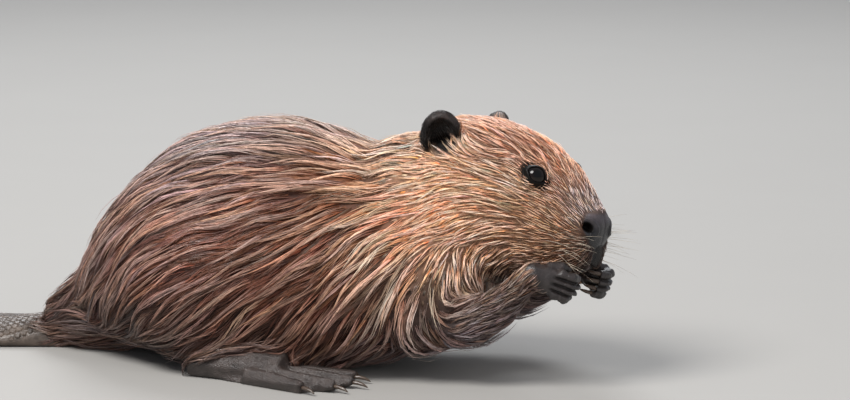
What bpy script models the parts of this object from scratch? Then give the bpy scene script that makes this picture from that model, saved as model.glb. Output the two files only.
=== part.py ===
# A beaver crouching over its food, life size, parted where a person would name its parts.
# Metres and degrees. The animal faces +X, its left side is +Y, and it rests on z = 0.
# Every solid reaches out to the tips of the coat.

import math

import bmesh
import bpy
from mathutils import Matrix, Vector

OBJECT_NAME = "beaver"
GAP = 0.0003                      # clearance between neighbouring pieces
SIDES = {"R": -1.0, "L": 1.0}     # sign of Y on each side of the body

# Trunk: x, underside, back, half width, height of the widest line
TRUNK_RINGS = (
    (-0.288, 0.046, 0.078, 0.022, 0.062),
    (-0.273, 0.022, 0.112, 0.057, 0.066),
    (-0.241, 0.006, 0.151, 0.083, 0.070),
    (-0.197, -0.002, 0.186, 0.099, 0.074),
    (-0.140, -0.004, 0.201, 0.107, 0.076),
    (-0.090, -0.004, 0.197, 0.109, 0.078),
    (-0.050, -0.001, 0.183, 0.106, 0.080),
    (-0.005, 0.010, 0.170, 0.100, 0.080),
    (0.030, 0.024, 0.145, 0.084, 0.080),
    (0.052, 0.045, 0.120, 0.050, 0.080),
)
TRUNK_POWERS = (2.6, 2.0)         # superellipse powers of a ring's lower and upper half

# Head: distance behind the nose, underside, crown, half width, height of the widest line,
# all from the nose tip, before the head is turned
HEAD_RINGS = (
    (0.001, -0.043, -0.008, 0.018, -0.023),
    (0.008, -0.049, 0.003, 0.026, -0.025),
    (0.022, -0.056, 0.014, 0.032, -0.028),
    (0.038, -0.065, 0.027, 0.038, -0.031),
    (0.058, -0.077, 0.039, 0.050, -0.034),
    (0.082, -0.083, 0.042, 0.057, -0.030),
    (0.108, -0.083, 0.044, 0.061, -0.025),
    (0.134, -0.078, 0.040, 0.061, -0.020),
    (0.160, -0.070, 0.030, 0.056, -0.016),
    (0.180, -0.052, 0.010, 0.040, -0.018),
)
HEAD_POWERS = (2.1, 2.1)
NOSE_TIP = Vector((0.161, -0.034, 0.133))
HEAD_YAW = -13.0                  # turned to its right
HEAD_PITCH = 15.0                 # nose down
HEAD_ROLL = -6.0                  # left side down

# Rounded masses of flesh and coat: centre and radii
NECK_MASS = ((-0.002, 0.0, 0.118), (0.070, 0.080, 0.075))
SIDE_MASSES = {                   # y is given for the left side
    "haunch": ((-0.160, 0.068, 0.068), (0.078, 0.047, 0.070)),
    "shoulder": ((0.012, 0.062, 0.076), (0.052, 0.040, 0.058)),
}
TAIL_ROOT = (                     # centre and radius along the furred root of the tail
    ((-0.215, 0.0, 0.050), 0.050),
    ((-0.262, 0.002, 0.040), 0.040),
    ((-0.296, 0.005, 0.026), 0.030),
    ((-0.322, 0.008, 0.018), 0.021),
)

# Features of the head, from the nose tip, on the left
EYE_PLACE = Vector((-0.058, 0.0335, 0.0155))
EYE_RADIUS = 0.0092
EAR_PLACE = Vector((-0.1385, 0.0475, 0.022))
EAR_OUTER = (0.0160, 0.0090, 0.0215)      # radii of the ear flap
EAR_HOLLOW = (0.0125, 0.0080, 0.0175)     # radii of its hollow
EAR_HOLLOW_PLACE = (0.0, 0.0062, 0.001)   # the hollow sits outwards in the flap
EAR_FORWARD = 28.0                        # the opening turns forward
EAR_BACK = 14.0                           # the flap leans back
EAR_OUT = 10.0                            # and outwards
EAR_DROP = {"R": 0.001, "L": 0.004}       # the left ear is held lower
NOSE_PAD = (Vector((-0.011, 0.0, -0.011)), (0.0150, 0.0195, 0.0180))
JAW_MASS = (Vector((-0.032, 0.0, -0.056)), (0.042, 0.021, 0.018))
MUZZLE_DEPTH = 0.050

# Planes that part the body: a point and the direction of the head end
NECK_FRONT = ((0.028, 0.0, 0.135), (0.90, -0.12, 0.40))
NECK_BACK = ((-0.008, 0.0, 0.120), (0.85, 0.0, 0.53))
CHEST_BACK = ((-0.078, 0.0, 0.0), (1.0, 0.0, 0.0))
ABDOMEN_BACK = ((-0.168, 0.0, 0.0), (1.0, 0.0, 0.0))
RUMP_BACK = ((-0.264, 0.0, 0.037), (0.88, 0.0, 0.47))

# Round cuts that part the legs from the trunk, on the left
THIGH_CUT = ((-0.155, 0.084, 0.060), (0.072, 0.046, 0.068))
UPPER_ARM_CUT = ((0.012, 0.080, 0.062), (0.042, 0.030, 0.045))

# Forelegs: the elbow's stations on the left, then the wrist, which the paw gives
FOREARM = (
    ((0.018, 0.066, 0.050), 0.021),
    ((0.050, 0.074, 0.048), 0.020),
    ((0.080, 0.067, 0.060), 0.016),
)
FOREARM_WRIST_RADIUS = 0.0105
PAW_PLACE = Vector((-0.019, 0.0420, -0.0560))  # the palm, from the nose tip, on the left
PAW_TURN = (-32.0, 6.0, 0.0)                   # yaw towards the mouth, pitch, roll
PALM = (                                       # rounded masses of the palm and its heel
    ((0.0, 0.0, 0.0), (0.0138, 0.0082, 0.0110)),
    ((-0.010, 0.0, -0.001), (0.012, 0.0095, 0.0105)),
)
WRIST_PLACE = Vector((-0.014, 0.0, -0.001))    # where the forearm meets the palm
FINGER_SPREAD = (0.0076, 0.0026, -0.0026, -0.0073)   # height of each finger on the palm
FINGER_LENGTHS = (0.92, 1.0, 0.98, 0.85)
FINGER_FAN = 6.0                               # the fingers spread by this much per metre
FINGER_PATH = (                                # centre and radius, curling towards the palm
    ((0.008, 0.002), 0.0046),
    ((0.018, 0.004), 0.0043),
    ((0.025, -0.003), 0.0038),
    ((0.0245, -0.010), 0.0030),
)
THUMB_PATH = (
    ((-0.002, -0.003, 0.009), 0.0046),
    ((0.008, -0.006, 0.0140), 0.0038),
    ((0.015, -0.009, 0.0120), 0.0030),
)
FINGER_CLAW = 0.0085
FINGER_CLAW_AIM = (Vector((-0.15, -1.0, 0.0)), Vector((-1.0, 0.0, 0.0)))   # along, and curving to
THUMB_CLAW = 0.0068
THUMB_CLAW_AIM = (Vector((0.4, -0.9, 0.0)), Vector((-0.5, 0.0, -0.5)))

# Hind feet: webbed, flat on the floor, from the heel forwards, on the left
HEEL = Vector((-0.172, 0.080, 0.0))
FOOT_YAW = 9.0
ANKLE = (
    ((0.030, 0.0, 0.062), 0.021),
    ((0.008, 0.0, 0.036), 0.018),
    ((0.006, 0.0, 0.015), 0.015),
)
SOLE = (
    ((0.004, 0.0, 0.012), 0.0145),
    ((0.040, 0.0, 0.012), 0.0150),
    ((0.086, 0.0, 0.009), 0.0145),
)
SOLE_WIDTH = 1.35                 # the sole is this much wider than it is high
TOE_ANGLES = (-17.0, -7.5, 1.0, 9.5, 18.0)
TOE_REACH = (0.124, 0.139, 0.146, 0.142, 0.126)
TOE_BASE = (0.064, 0.0070)        # distance from the heel where the toes part, and radius
TOE_HEIGHT = 0.0072
TOE_MIDDLE = (0.0079, 0.0062)     # height and radius half way along a toe
TOE_TIP = (0.0052, 0.0046)
WEB_THICKNESS = 0.0040
WEB_HEIGHT = 0.0016
WEB_BACK = (0.030, 0.015)         # distance from the heel and half width where the web starts
WEB_SHORT = 0.006                 # the web ends this far short of the toe tips
WEB_SCALLOP = 0.93                # and falls back between the toes by this factor
TOE_CLAW = 0.0125
TOE_CLAW_DROP = Vector((0.0, 0.0, -0.55))

CLAW_RADIUS = 0.0021
CLAW_STATIONS = (                 # share of the length, drop and share of the radius
    (-0.15, 0.0, 1.0),
    (0.35, 0.05, 0.85),
    (0.75, 0.22, 0.55),
    (1.0, 0.45, 0.12),
)

# Tail paddle: distance behind its root, thickness, half width
TAIL_START = Vector((-0.300, 0.006, 0.0))
TAIL_YAW = -7.0                   # the tip swings to the left
TAIL_RINGS = (
    (0.000, 0.024, 0.014),
    (0.018, 0.024, 0.018),
    (0.045, 0.021, 0.033),
    (0.080, 0.018, 0.044),
    (0.120, 0.0155, 0.048),
    (0.160, 0.013, 0.045),
    (0.190, 0.010, 0.034),
    (0.206, 0.008, 0.016),
)
TAIL_EDGE = 0.0045                # height of the paddle's rim
TAIL_UNDERSIDE = -0.002           # the paddle is pressed flat on the floor
TAIL_POWERS = (2.4, 1.7)

WELD = 2e-5                       # points nearer than this are one point
SOCKET = 1.5 * GAP                # clearance round a limb, measured from its thinned surface
FLESH_VOXEL = 0.0032
FLESH_SMOOTHING = 8
LIMB_SMOOTHING = 3
HEAD_TRIANGLES = 2000             # of the whole body, where the head is cut from it
TRUNK_TRIANGLES = 850             # of the whole body, where the trunk is cut from it
HEAD_RIM = 0.0015                 # shortest edge round a flat cut through the head
TRUNK_RIM = 0.0080                # and through the trunk
PAW_VOXEL = 0.0014
PAW_TRIANGLES = 206
FOOT_VOXEL = 0.0018
FOOT_TRIANGLES = 214
EAR_TRIANGLES = 140
TAIL_TRIANGLES = 230
FOREARM_TRIANGLES = 84
RIM_PASSES = 4
LIMB_SIDES = 12                   # facets round a limb, a toe and a claw
TOE_SIDES = 8
CLAW_SIDES = 4
MASS_FACETS = (24, 14)            # segments and rings of a ball that is fused with others
CUT_FACETS = (12, 7)              # of one that parts the body
EAR_FACETS = (18, 11)
EYE_FACETS = (14, 9)
SHARP_ANGLE = 40.0                # edges sharper than this stay sharp

RING_POINTS = 12
CAGE_SWELL = 1.0 / 0.955          # a twelve-point cage shrinks by this when it is subdivided


def clear_scene():
    for thing in list(bpy.data.objects):
        bpy.data.objects.remove(thing, do_unlink=True)


def new_collection(name):
    collection = bpy.data.collections.new(name)
    bpy.context.scene.collection.children.link(collection)
    return collection


def new_object(name, mesh, collection):
    thing = bpy.data.objects.new(name, mesh)
    collection.objects.link(thing)
    return thing


def baked(thing):
    # The mesh of an object with its modifiers, in world space; the object is removed.
    bpy.context.view_layer.update()
    graph = bpy.context.evaluated_depsgraph_get()
    mesh = bpy.data.meshes.new_from_object(thing.evaluated_get(graph))
    mesh.transform(thing.matrix_world)
    bpy.data.objects.remove(thing, do_unlink=True)
    return mesh


def with_modifier(mesh, kind, **settings):
    thing = new_object("work", mesh, bpy.context.scene.collection)
    modifier = thing.modifiers.new(kind, kind)
    for name, value in settings.items():
        setattr(modifier, name, value)
    return baked(thing)


def edited(mesh, change):
    # Runs a bmesh change on a mesh and writes it back as outward-facing triangles.
    work = bmesh.new()
    work.from_mesh(mesh)
    change(work)
    bmesh.ops.triangulate(work, faces=work.faces)
    work.to_mesh(mesh)
    work.free()
    return mesh


def closed(mesh):
    def weld(work):
        bmesh.ops.remove_doubles(work, verts=work.verts, dist=WELD)
        bmesh.ops.recalc_face_normals(work, faces=work.faces)
    return edited(mesh, weld)


def joined(meshes):
    work = bmesh.new()
    for mesh in meshes:
        work.from_mesh(mesh)
    result = bpy.data.meshes.new("joined")
    work.to_mesh(result)
    work.free()
    return result


def grown(mesh, amount):
    # A copy whose surface lies further out by the given amount.
    result = mesh.copy()
    normals = [vertex.normal.copy() for vertex in mesh.vertices]
    for vertex, normal in zip(result.vertices, normals):
        vertex.co += normal * amount
    return result


def turned(mesh, matrix):
    mesh.transform(matrix)
    if matrix.determinant() < 0.0:
        mesh.flip_normals()
    return mesh


def mirror(side):
    return Matrix.Diagonal((1.0, SIDES[side], 1.0, 1.0))


def turn(yaw=0.0, pitch=0.0, roll=0.0):
    # Yaw about Z, then pitch about Y, then roll about X, each in the turned frame.
    return (Matrix.Rotation(math.radians(yaw), 4, "Z")
            @ Matrix.Rotation(math.radians(pitch), 4, "Y")
            @ Matrix.Rotation(math.radians(roll), 4, "X"))


def head_matrix():
    return Matrix.Translation(NOSE_TIP) @ turn(HEAD_YAW, HEAD_PITCH, HEAD_ROLL)


def ball(centre, radii, facets=MASS_FACETS):
    bpy.ops.mesh.primitive_uv_sphere_add(segments=facets[0], ring_count=facets[1], radius=1.0)
    thing = bpy.context.active_object
    mesh = baked(thing)
    mesh.transform(Matrix.Translation(centre) @ Matrix.Diagonal((*radii, 1.0)))
    return mesh


def ring(x, under, over, half_width, widest, powers):
    points = []
    for step in range(RING_POINTS):
        angle = 2.0 * math.pi * step / RING_POINTS
        across, up = math.cos(angle), math.sin(angle)
        power = powers[1] if up > 0.0 else powers[0]
        reach = over - widest if up > 0.0 else widest - under
        y = half_width * CAGE_SWELL * math.copysign(abs(across) ** (2.0 / power), across)
        z = widest + reach * CAGE_SWELL * math.copysign(abs(up) ** (2.0 / power), up)
        points.append((x, y, z))
    return points


def loft(rings):
    # A cage through like rings, closed at both ends and rounded by subdivision.
    work = bmesh.new()
    loops = [[work.verts.new(point) for point in points] for points in rings]
    for back, front in zip(loops, loops[1:]):
        for k in range(len(back)):
            after = (k + 1) % len(back)
            work.faces.new((back[k], back[after], front[after], front[k]))
    work.faces.new(loops[0])
    work.faces.new(loops[-1])
    bmesh.ops.recalc_face_normals(work, faces=work.faces)
    mesh = bpy.data.meshes.new("loft")
    work.to_mesh(mesh)
    work.free()
    return with_modifier(mesh, "SUBSURF", levels=2, render_levels=2)


def tube(stations, sides=TOE_SIDES, kind="NURBS"):
    # A round limb through (centre, radius) stations, closed at both ends.
    curve = bpy.data.curves.new("tube", "CURVE")
    curve.dimensions = "3D"
    curve.bevel_depth = 1.0
    curve.bevel_resolution = sides // 2 - 2
    curve.resolution_u = 4
    curve.use_fill_caps = True
    spline = curve.splines.new(kind)
    spline.points.add(len(stations) - 1)
    for point, (centre, radius) in zip(spline.points, stations):
        point.co = (*centre, 1.0)
        point.radius = radius
    if kind == "NURBS":
        spline.order_u = 3
        spline.use_endpoint_u = True
    return closed(baked(new_object("tube", curve, bpy.context.scene.collection)))


def fused(meshes, voxel, smoothing):
    # One closed surface round overlapping closed meshes.
    mesh = with_modifier(joined(meshes), "REMESH", mode="VOXEL", voxel_size=voxel)
    mesh = with_modifier(mesh, "SMOOTH", factor=0.5, iterations=smoothing)
    return closed(mesh)


def thinned(mesh, triangles):
    mesh = edited(mesh.copy(), lambda work: None)
    ratio = triangles / len(mesh.polygons)
    return closed(with_modifier(mesh, "DECIMATE", ratio=ratio))


def boolean(mesh, other, operation):
    cutter = new_object("cutter", other, bpy.context.scene.collection)
    result = with_modifier(mesh, "BOOLEAN", object=cutter, operation=operation, solver="EXACT")
    bpy.data.objects.remove(cutter, do_unlink=True)
    return largest(closed(result))


def largest(mesh):
    # Drops any crumb that a cut leaves loose.
    work = bmesh.new()
    work.from_mesh(mesh)
    groups = []
    unseen = set(work.verts)
    while unseen:
        group, edge = set(), [unseen.pop()]
        while edge:
            vertex = edge.pop()
            group.add(vertex)
            for link in vertex.link_edges:
                other = link.other_vert(vertex)
                if other in unseen:
                    unseen.discard(other)
                    edge.append(other)
        groups.append(group)
    groups.sort(key=len)
    crumbs = [vertex for group in groups[:-1] for vertex in group]
    bmesh.ops.delete(work, geom=crumbs, context="VERTS")
    work.to_mesh(mesh)
    work.free()
    return mesh


def collapse_short_rim(work, shortest):
    # Merges the ends of short edges round an opening, never two neighbours in one pass.
    for _ in range(RIM_PASSES):
        chosen, used = [], set()
        for edge in work.edges:
            if edge.is_boundary and edge.calc_length() < shortest and not used & set(edge.verts):
                used.update(edge.verts)
                chosen.append(edge)
        bmesh.ops.collapse(work, edges=chosen)


def is_closed(mesh):
    work = bmesh.new()
    work.from_mesh(mesh)
    answer = all(edge.is_manifold for edge in work.edges)
    work.free()
    return answer


def side_of(mesh, point, normal, shortest):
    # The part of a mesh that lies ahead of a plane, capped flat. Where merging short edges
    # would leave the cap open, it is cut again with fewer of them merged.
    def cut(work):
        everything = list(work.verts) + list(work.edges) + list(work.faces)
        bmesh.ops.bisect_plane(work, geom=everything, plane_co=point, plane_no=normal,
                               clear_inner=True, dist=1e-6)
        collapse_short_rim(work, shortest)
        rim = [edge for edge in work.edges if edge.is_boundary]
        bmesh.ops.holes_fill(work, edges=rim, sides=0)
        bmesh.ops.recalc_face_normals(work, faces=work.faces)
    result = largest(closed(edited(mesh.copy(), cut)))
    if is_closed(result) or shortest < GAP:
        return result
    return side_of(mesh, point, normal, shortest / 2.0)


def split(mesh, point, normal, shortest):
    # Both sides of a plane, with the gap between them.
    normal = Vector(normal).normalized()
    ahead = side_of(mesh, Vector(point) + normal * GAP / 2.0, normal, shortest)
    behind = side_of(mesh, Vector(point) - normal * GAP / 2.0, -normal, shortest)
    return ahead, behind


def bounds(mesh):
    return [(min(values), max(values)) for values in zip(*(vertex.co for vertex in mesh.vertices))]


def may_touch(mesh, other):
    return all(low < other_high and other_low < high
               for (low, high), (other_low, other_high) in zip(bounds(mesh), bounds(other)))


def without(mesh, others, clearance=SOCKET):
    # Cuts a socket for each of the others, with the gap round it.
    for other in others:
        if may_touch(mesh, other):
            mesh = boolean(mesh, grown(other, clearance), "DIFFERENCE")
    return mesh


def take_out(name, shape, whole, pieces):
    # Makes the part of the whole inside a shape a piece, and cuts it from the other pieces.
    for other in pieces:
        pieces[other] = without(pieces[other], [shape], GAP)
    pieces[name] = boolean(whole.copy(), shape, "INTERSECT")


def flesh_masses():
    head = [ring(-back, *sizes, HEAD_POWERS) for back, *sizes in HEAD_RINGS]
    trunk = [ring(x, *sizes, TRUNK_POWERS) for x, *sizes in TRUNK_RINGS]
    masses = [loft(trunk), turned(loft(head), head_matrix()), ball(*NECK_MASS)]
    masses.append(tube(TAIL_ROOT, LIMB_SIDES))
    for side in SIDES:
        for centre, radii in SIDE_MASSES.values():
            masses.append(turned(ball(centre, radii), mirror(side)))
    return masses


def on_floor(mesh, shortest):
    return side_of(mesh, (0.0, 0.0, 0.0), (0.0, 0.0, 1.0), shortest)


def claw(tip, along, down, length):
    # A small curved horn that starts at the tip of a digit.
    stations = []
    for share, drop, radius in CLAW_STATIONS:
        centre = tip + along * length * share + down * length * drop
        stations.append((centre, CLAW_RADIUS * radius))
    return tube(stations, CLAW_SIDES, "POLY")


def paw_matrix(side):
    return head_matrix() @ mirror(side) @ Matrix.Translation(PAW_PLACE) @ turn(*PAW_TURN)


def forepaw():
    # Fingers run along +X and curl towards the palm, which faces -Y; the thumb is on top.
    shapes = [ball(centre, radii) for centre, radii in PALM]
    claws = []
    for height, length in zip(FINGER_SPREAD, FINGER_LENGTHS):
        path = []
        for (x, y), radius in FINGER_PATH:
            path.append((Vector((x * length, y, height * (1.0 + FINGER_FAN * x))), radius))
        shapes.append(tube(path))
        claws.append(claw(path[-1][0], *FINGER_CLAW_AIM, FINGER_CLAW))
    shapes.append(tube(THUMB_PATH))
    claws.append(claw(Vector(THUMB_PATH[-1][0]), *THUMB_CLAW_AIM, THUMB_CLAW))
    return thinned(fused(shapes, PAW_VOXEL, LIMB_SMOOTHING), PAW_TRIANGLES), claws


def toe_points():
    points = []
    for angle, reach in zip(TOE_ANGLES, TOE_REACH):
        direction = Vector((math.cos(math.radians(angle)), math.sin(math.radians(angle)), 0.0))
        points.append((direction, reach))
    return points


def web():
    # A thin sheet between the toes, scalloped along its front edge.
    lift = Vector((0.0, 0.0, WEB_HEIGHT))
    back, half_width = WEB_BACK
    outline = [Vector((back, -half_width, 0.0)), Vector((back, half_width, 0.0))]
    toes = toe_points()[::-1]
    for (direction, reach), after in zip(toes, toes[1:] + [None]):
        outline.append(direction * (reach - WEB_SHORT))
        if after:
            between = (direction * reach + after[0] * after[1]) * 0.5
            outline.append(between * WEB_SCALLOP)
    work = bmesh.new()
    work.faces.new([work.verts.new(point + lift) for point in outline])
    mesh = bpy.data.meshes.new("web")
    work.to_mesh(mesh)
    work.free()
    return closed(with_modifier(mesh, "SOLIDIFY", thickness=WEB_THICKNESS, offset=0.0))


def hind_foot():
    up = Vector((0.0, 0.0, 1.0))
    sole = turned(tube(SOLE, LIMB_SIDES), Matrix.Diagonal((1.0, SOLE_WIDTH, 1.0, 1.0)))
    shapes = [tube(ANKLE, LIMB_SIDES), sole, web()]
    claws = []
    base_reach, base_radius = TOE_BASE
    middle_height, middle_radius = TOE_MIDDLE
    tip_height, tip_radius = TOE_TIP
    for direction, reach in toe_points():
        base = direction * base_reach + up * TOE_HEIGHT
        middle = direction * (base_reach + reach) / 2.0 + up * middle_height
        tip = direction * reach + up * tip_height
        shapes.append(tube(((base, base_radius), (middle, middle_radius), (tip, tip_radius))))
        claws.append(claw(tip, direction, TOE_CLAW_DROP, TOE_CLAW))
    foot = thinned(fused(shapes, FOOT_VOXEL, LIMB_SMOOTHING), FOOT_TRIANGLES)
    return on_floor(foot, HEAD_RIM), claws


def tail_paddle():
    rings = [ring(-back, TAIL_UNDERSIDE, thickness, half_width, TAIL_EDGE, TAIL_POWERS)
             for back, thickness, half_width in TAIL_RINGS]
    mesh = turned(loft(rings), Matrix.Translation(TAIL_START) @ turn(TAIL_YAW))
    return on_floor(thinned(mesh, TAIL_TRIANGLES), HEAD_RIM)


def ear(side):
    # A round cup that opens outwards and forwards.
    flap = ball((0.0, 0.0, 0.0), EAR_OUTER, EAR_FACETS)
    hollow = ball(EAR_HOLLOW_PLACE, EAR_HOLLOW, EAR_FACETS)
    cup = thinned(boolean(flap, hollow, "DIFFERENCE"), EAR_TRIANGLES)
    place = EAR_PLACE - Vector((0.0, 0.0, EAR_DROP[side]))
    return turned(cup, head_matrix() @ mirror(side) @ Matrix.Translation(place)
                  @ turn(-EAR_FORWARD, -EAR_BACK, -EAR_OUT))


def eye(side):
    return turned(ball(EYE_PLACE, (EYE_RADIUS,) * 3, EYE_FACETS), head_matrix() @ mirror(side))


def forearm(side):
    stations = [(mirror(side) @ Vector(centre), radius) for centre, radius in FOREARM]
    stations.append((paw_matrix(side) @ WRIST_PLACE, FOREARM_WRIST_RADIUS))
    return thinned(tube(stations, LIMB_SIDES), FOREARM_TRIANGLES)


def build_limbs():
    limbs = {"tail": tail_paddle()}
    for side in SIDES:
        paw, finger_claws = forepaw()
        foot, toe_claws = hind_foot()
        at_paw = paw_matrix(side)
        at_foot = mirror(side) @ Matrix.Translation(HEEL) @ turn(FOOT_YAW)
        finger_claws = [turned(shape, at_paw) for shape in finger_claws]
        toe_claws = [turned(shape, at_foot) for shape in toe_claws]
        limbs["forepaw_" + side] = without(turned(paw, at_paw), finger_claws)
        limbs["hind_foot_" + side] = without(turned(foot, at_foot), toe_claws)
        limbs["forearm_" + side] = without(forearm(side), [paw])
        for k, shape in enumerate(finger_claws, 1):
            limbs[f"finger_claw_{side}{k}"] = shape
        for k, shape in enumerate(toe_claws, 1):
            limbs[f"toe_claw_{side}{k}"] = shape
        limbs["ear_" + side] = ear(side)
        limbs["eye_" + side] = eye(side)
    return limbs


def part_head(head, limbs):
    forward = head_matrix().to_3x3() @ Vector((1.0, 0.0, 0.0))
    muzzle, rest = split(head, head_matrix() @ Vector((-MUZZLE_DEPTH, 0.0, 0.0)), forward, HEAD_RIM)
    pieces = {"muzzle": muzzle, "head": rest}
    for name, (centre, radii) in (("nose", NOSE_PAD), ("lower_jaw", JAW_MASS)):
        take_out(name, turned(ball(centre, radii, CUT_FACETS), head_matrix()), head, pieces)
    limb_names = ("ear", "eye", "forearm")
    near = [shape for name, shape in limbs.items() if name.startswith(limb_names)]
    return {name: without(mesh, near) for name, mesh in pieces.items()}


def part_trunk(trunk, limbs):
    pieces = {}
    pieces["neck"], rest = split(trunk, *NECK_BACK, TRUNK_RIM)
    pieces["chest"], rest = split(rest, *CHEST_BACK, TRUNK_RIM)
    pieces["abdomen"], rest = split(rest, *ABDOMEN_BACK, TRUNK_RIM)
    pieces["rump"], pieces["tail_root"] = split(rest, *RUMP_BACK, TRUNK_RIM)
    for side in SIDES:
        for name, (centre, radii) in (("thigh_", THIGH_CUT), ("upper_arm_", UPPER_ARM_CUT)):
            shape = turned(ball(centre, radii, CUT_FACETS), mirror(side))
            take_out(name + side, shape, trunk, pieces)
    limb_names = ("tail", "forearm", "hind_foot")
    near = [shape for name, shape in limbs.items() if name.startswith(limb_names)]
    return {name: without(mesh, near) for name, mesh in pieces.items()}


def middle_of(meshes):
    xs = [vertex.co.x for mesh in meshes for vertex in mesh.vertices]
    ys = [vertex.co.y for mesh in meshes for vertex in mesh.vertices]
    return Vector(((min(xs) + max(xs)) / 2.0, (min(ys) + max(ys)) / 2.0, 0.0))


# Colour and roughness by the first word or words of a node's name
FINISHES = {
    "head": ((0.40, 0.20, 0.10), 0.55),
    "muzzle": ((0.36, 0.22, 0.13), 0.55),
    "nose": ((0.030, 0.030, 0.034), 0.40),
    "lower_jaw": ((0.30, 0.19, 0.12), 0.60),
    "ear": ((0.025, 0.022, 0.022), 0.60),
    "eye": ((0.008, 0.006, 0.006), 0.05),
    "neck": ((0.42, 0.23, 0.12), 0.55),
    "chest": ((0.34, 0.20, 0.13), 0.50),
    "abdomen": ((0.28, 0.17, 0.12), 0.50),
    "rump": ((0.24, 0.15, 0.11), 0.50),
    "thigh": ((0.25, 0.15, 0.11), 0.50),
    "upper_arm": ((0.32, 0.19, 0.13), 0.50),
    "forearm": ((0.18, 0.13, 0.11), 0.50),
    "forepaw": ((0.040, 0.034, 0.034), 0.45),
    "hind_foot": ((0.045, 0.038, 0.035), 0.45),
    "finger_claw": ((0.060, 0.050, 0.045), 0.35),
    "toe_claw": ((0.060, 0.050, 0.045), 0.35),
    "tail_root": ((0.24, 0.15, 0.11), 0.50),
    "tail": ((0.060, 0.052, 0.048), 0.50),
}


def finish(thing):
    kind = max((key for key in FINISHES if thing.name.startswith(key)), key=len)
    colour, roughness = FINISHES[kind]
    material = bpy.data.materials.new(thing.name)
    material.use_nodes = True
    shader = material.node_tree.nodes["Principled BSDF"]
    shader.inputs["Base Color"].default_value = (*colour, 1.0)
    shader.inputs["Roughness"].default_value = roughness
    shader.inputs["Metallic"].default_value = 0.0
    material.diffuse_color = (*colour, 1.0)
    thing.data.materials.clear()
    thing.data.materials.append(material)
    thing.data.shade_smooth()
    thing.data.set_sharp_from_angle(angle=math.radians(SHARP_ANGLE))


def build():
    clear_scene()
    parts = new_collection(OBJECT_NAME)
    whole = fused(flesh_masses(), FLESH_VOXEL, FLESH_SMOOTHING)
    limbs = build_limbs()
    head, _ = split(thinned(whole, HEAD_TRIANGLES), *NECK_FRONT, HEAD_RIM)
    _, trunk = split(thinned(whole, TRUNK_TRIANGLES), *NECK_FRONT, TRUNK_RIM)
    trunk = on_floor(trunk, TRUNK_RIM)
    pieces = {**limbs, **part_head(head, limbs), **part_trunk(trunk, limbs)}
    shift = Matrix.Translation(-middle_of(pieces.values()))
    for name, mesh in sorted(pieces.items()):
        finish(new_object(name, turned(mesh, shift), parts))
    triangles = sum(len(mesh.polygons) for mesh in pieces.values())
    print(OBJECT_NAME, len(pieces), "pieces,", triangles, "triangles")


build()
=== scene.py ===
import math

import bmesh
import bpy
import numpy as np
from mathutils import Matrix, Vector
from mathutils.bvhtree import BVHTree
from mathutils.kdtree import KDTree


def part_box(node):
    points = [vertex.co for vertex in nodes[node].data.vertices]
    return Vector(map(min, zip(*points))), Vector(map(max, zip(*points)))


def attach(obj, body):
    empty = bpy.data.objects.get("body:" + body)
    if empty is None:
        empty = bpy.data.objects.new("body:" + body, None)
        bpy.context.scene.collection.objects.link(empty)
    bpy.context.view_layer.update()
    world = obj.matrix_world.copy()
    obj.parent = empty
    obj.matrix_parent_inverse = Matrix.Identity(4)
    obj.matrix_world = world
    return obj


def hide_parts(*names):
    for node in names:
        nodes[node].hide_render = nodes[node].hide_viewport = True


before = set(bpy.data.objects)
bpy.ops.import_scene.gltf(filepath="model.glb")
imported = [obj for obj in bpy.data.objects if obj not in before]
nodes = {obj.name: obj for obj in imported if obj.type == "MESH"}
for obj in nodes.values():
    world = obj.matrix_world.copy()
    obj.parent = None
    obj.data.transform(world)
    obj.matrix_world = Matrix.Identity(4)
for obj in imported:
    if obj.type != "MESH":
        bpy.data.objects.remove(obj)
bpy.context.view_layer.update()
rng = np.random.default_rng(11)
sides = {"L": 1.0, "R": -1.0}
print("frame:", len(nodes), "nodes")


def linear(hexColour):
    # sRGB hex to linear red, green and blue
    values = [int(hexColour[k:k + 2], 16) / 255.0 for k in (1, 3, 5)]
    return [v / 12.92 if v <= 0.04045 else ((v + 0.055) / 1.055) ** 2.4 for v in values]


def addNode(tree, kind, inputs=None, **settings):
    # an input takes a value, a socket, or a node, whose first output is meant
    node = tree.nodes.new(kind)
    for name, value in settings.items():
        setattr(node, name, value)
    for name, value in (inputs or {}).items():
        if isinstance(value, bpy.types.Node):
            value = value.outputs[0]
        if isinstance(value, bpy.types.NodeSocket):
            tree.links.new(value, node.inputs[name])
        else:
            node.inputs[name].default_value = value
    return node


def makeMaterial(surface):
    # one Principled surface, named for the function that builds what feeds it
    material = bpy.data.materials.new(surface.__name__)
    material.use_nodes = True
    tree = material.node_tree
    tree.nodes.clear()
    shader = addNode(tree, "ShaderNodeBsdfPrincipled", surface(tree))
    addNode(tree, "ShaderNodeOutputMaterial", {"Surface": shader})
    return material


def perMetre(millimetres):
    # a pattern's scale, from the real size of one of its grains
    return 1000.0 / millimetres


def setStops(ramp, stops):
    # the colours of a ramp, from (place, colour) pairs
    elements = ramp.color_ramp.elements
    while len(elements) < len(stops):
        elements.new(1.0)
    while len(elements) > len(stops):
        elements.remove(elements[-1])
    for element, (place, colour) in zip(elements, stops):
        element.position = place
        element.color = (*linear(colour), 1.0)


def unit(vectors):
    return vectors / np.maximum(np.linalg.norm(vectors, axis=-1, keepdims=True), 1e-12)


def smoothStep(low, high, values):
    share = np.clip((values - low) / (high - low), 0.0, 1.0)
    return share * share * (3.0 - 2.0 * share)


def hump(offset, width):
    return np.exp(-(offset / width) ** 2)


def blend(first, second, share):
    return first * (1.0 - share) + second * share


def folded(points):
    # the right side laid over the left one
    points = points.copy()
    points[:, 1] = np.abs(points[:, 1])
    return points


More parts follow.
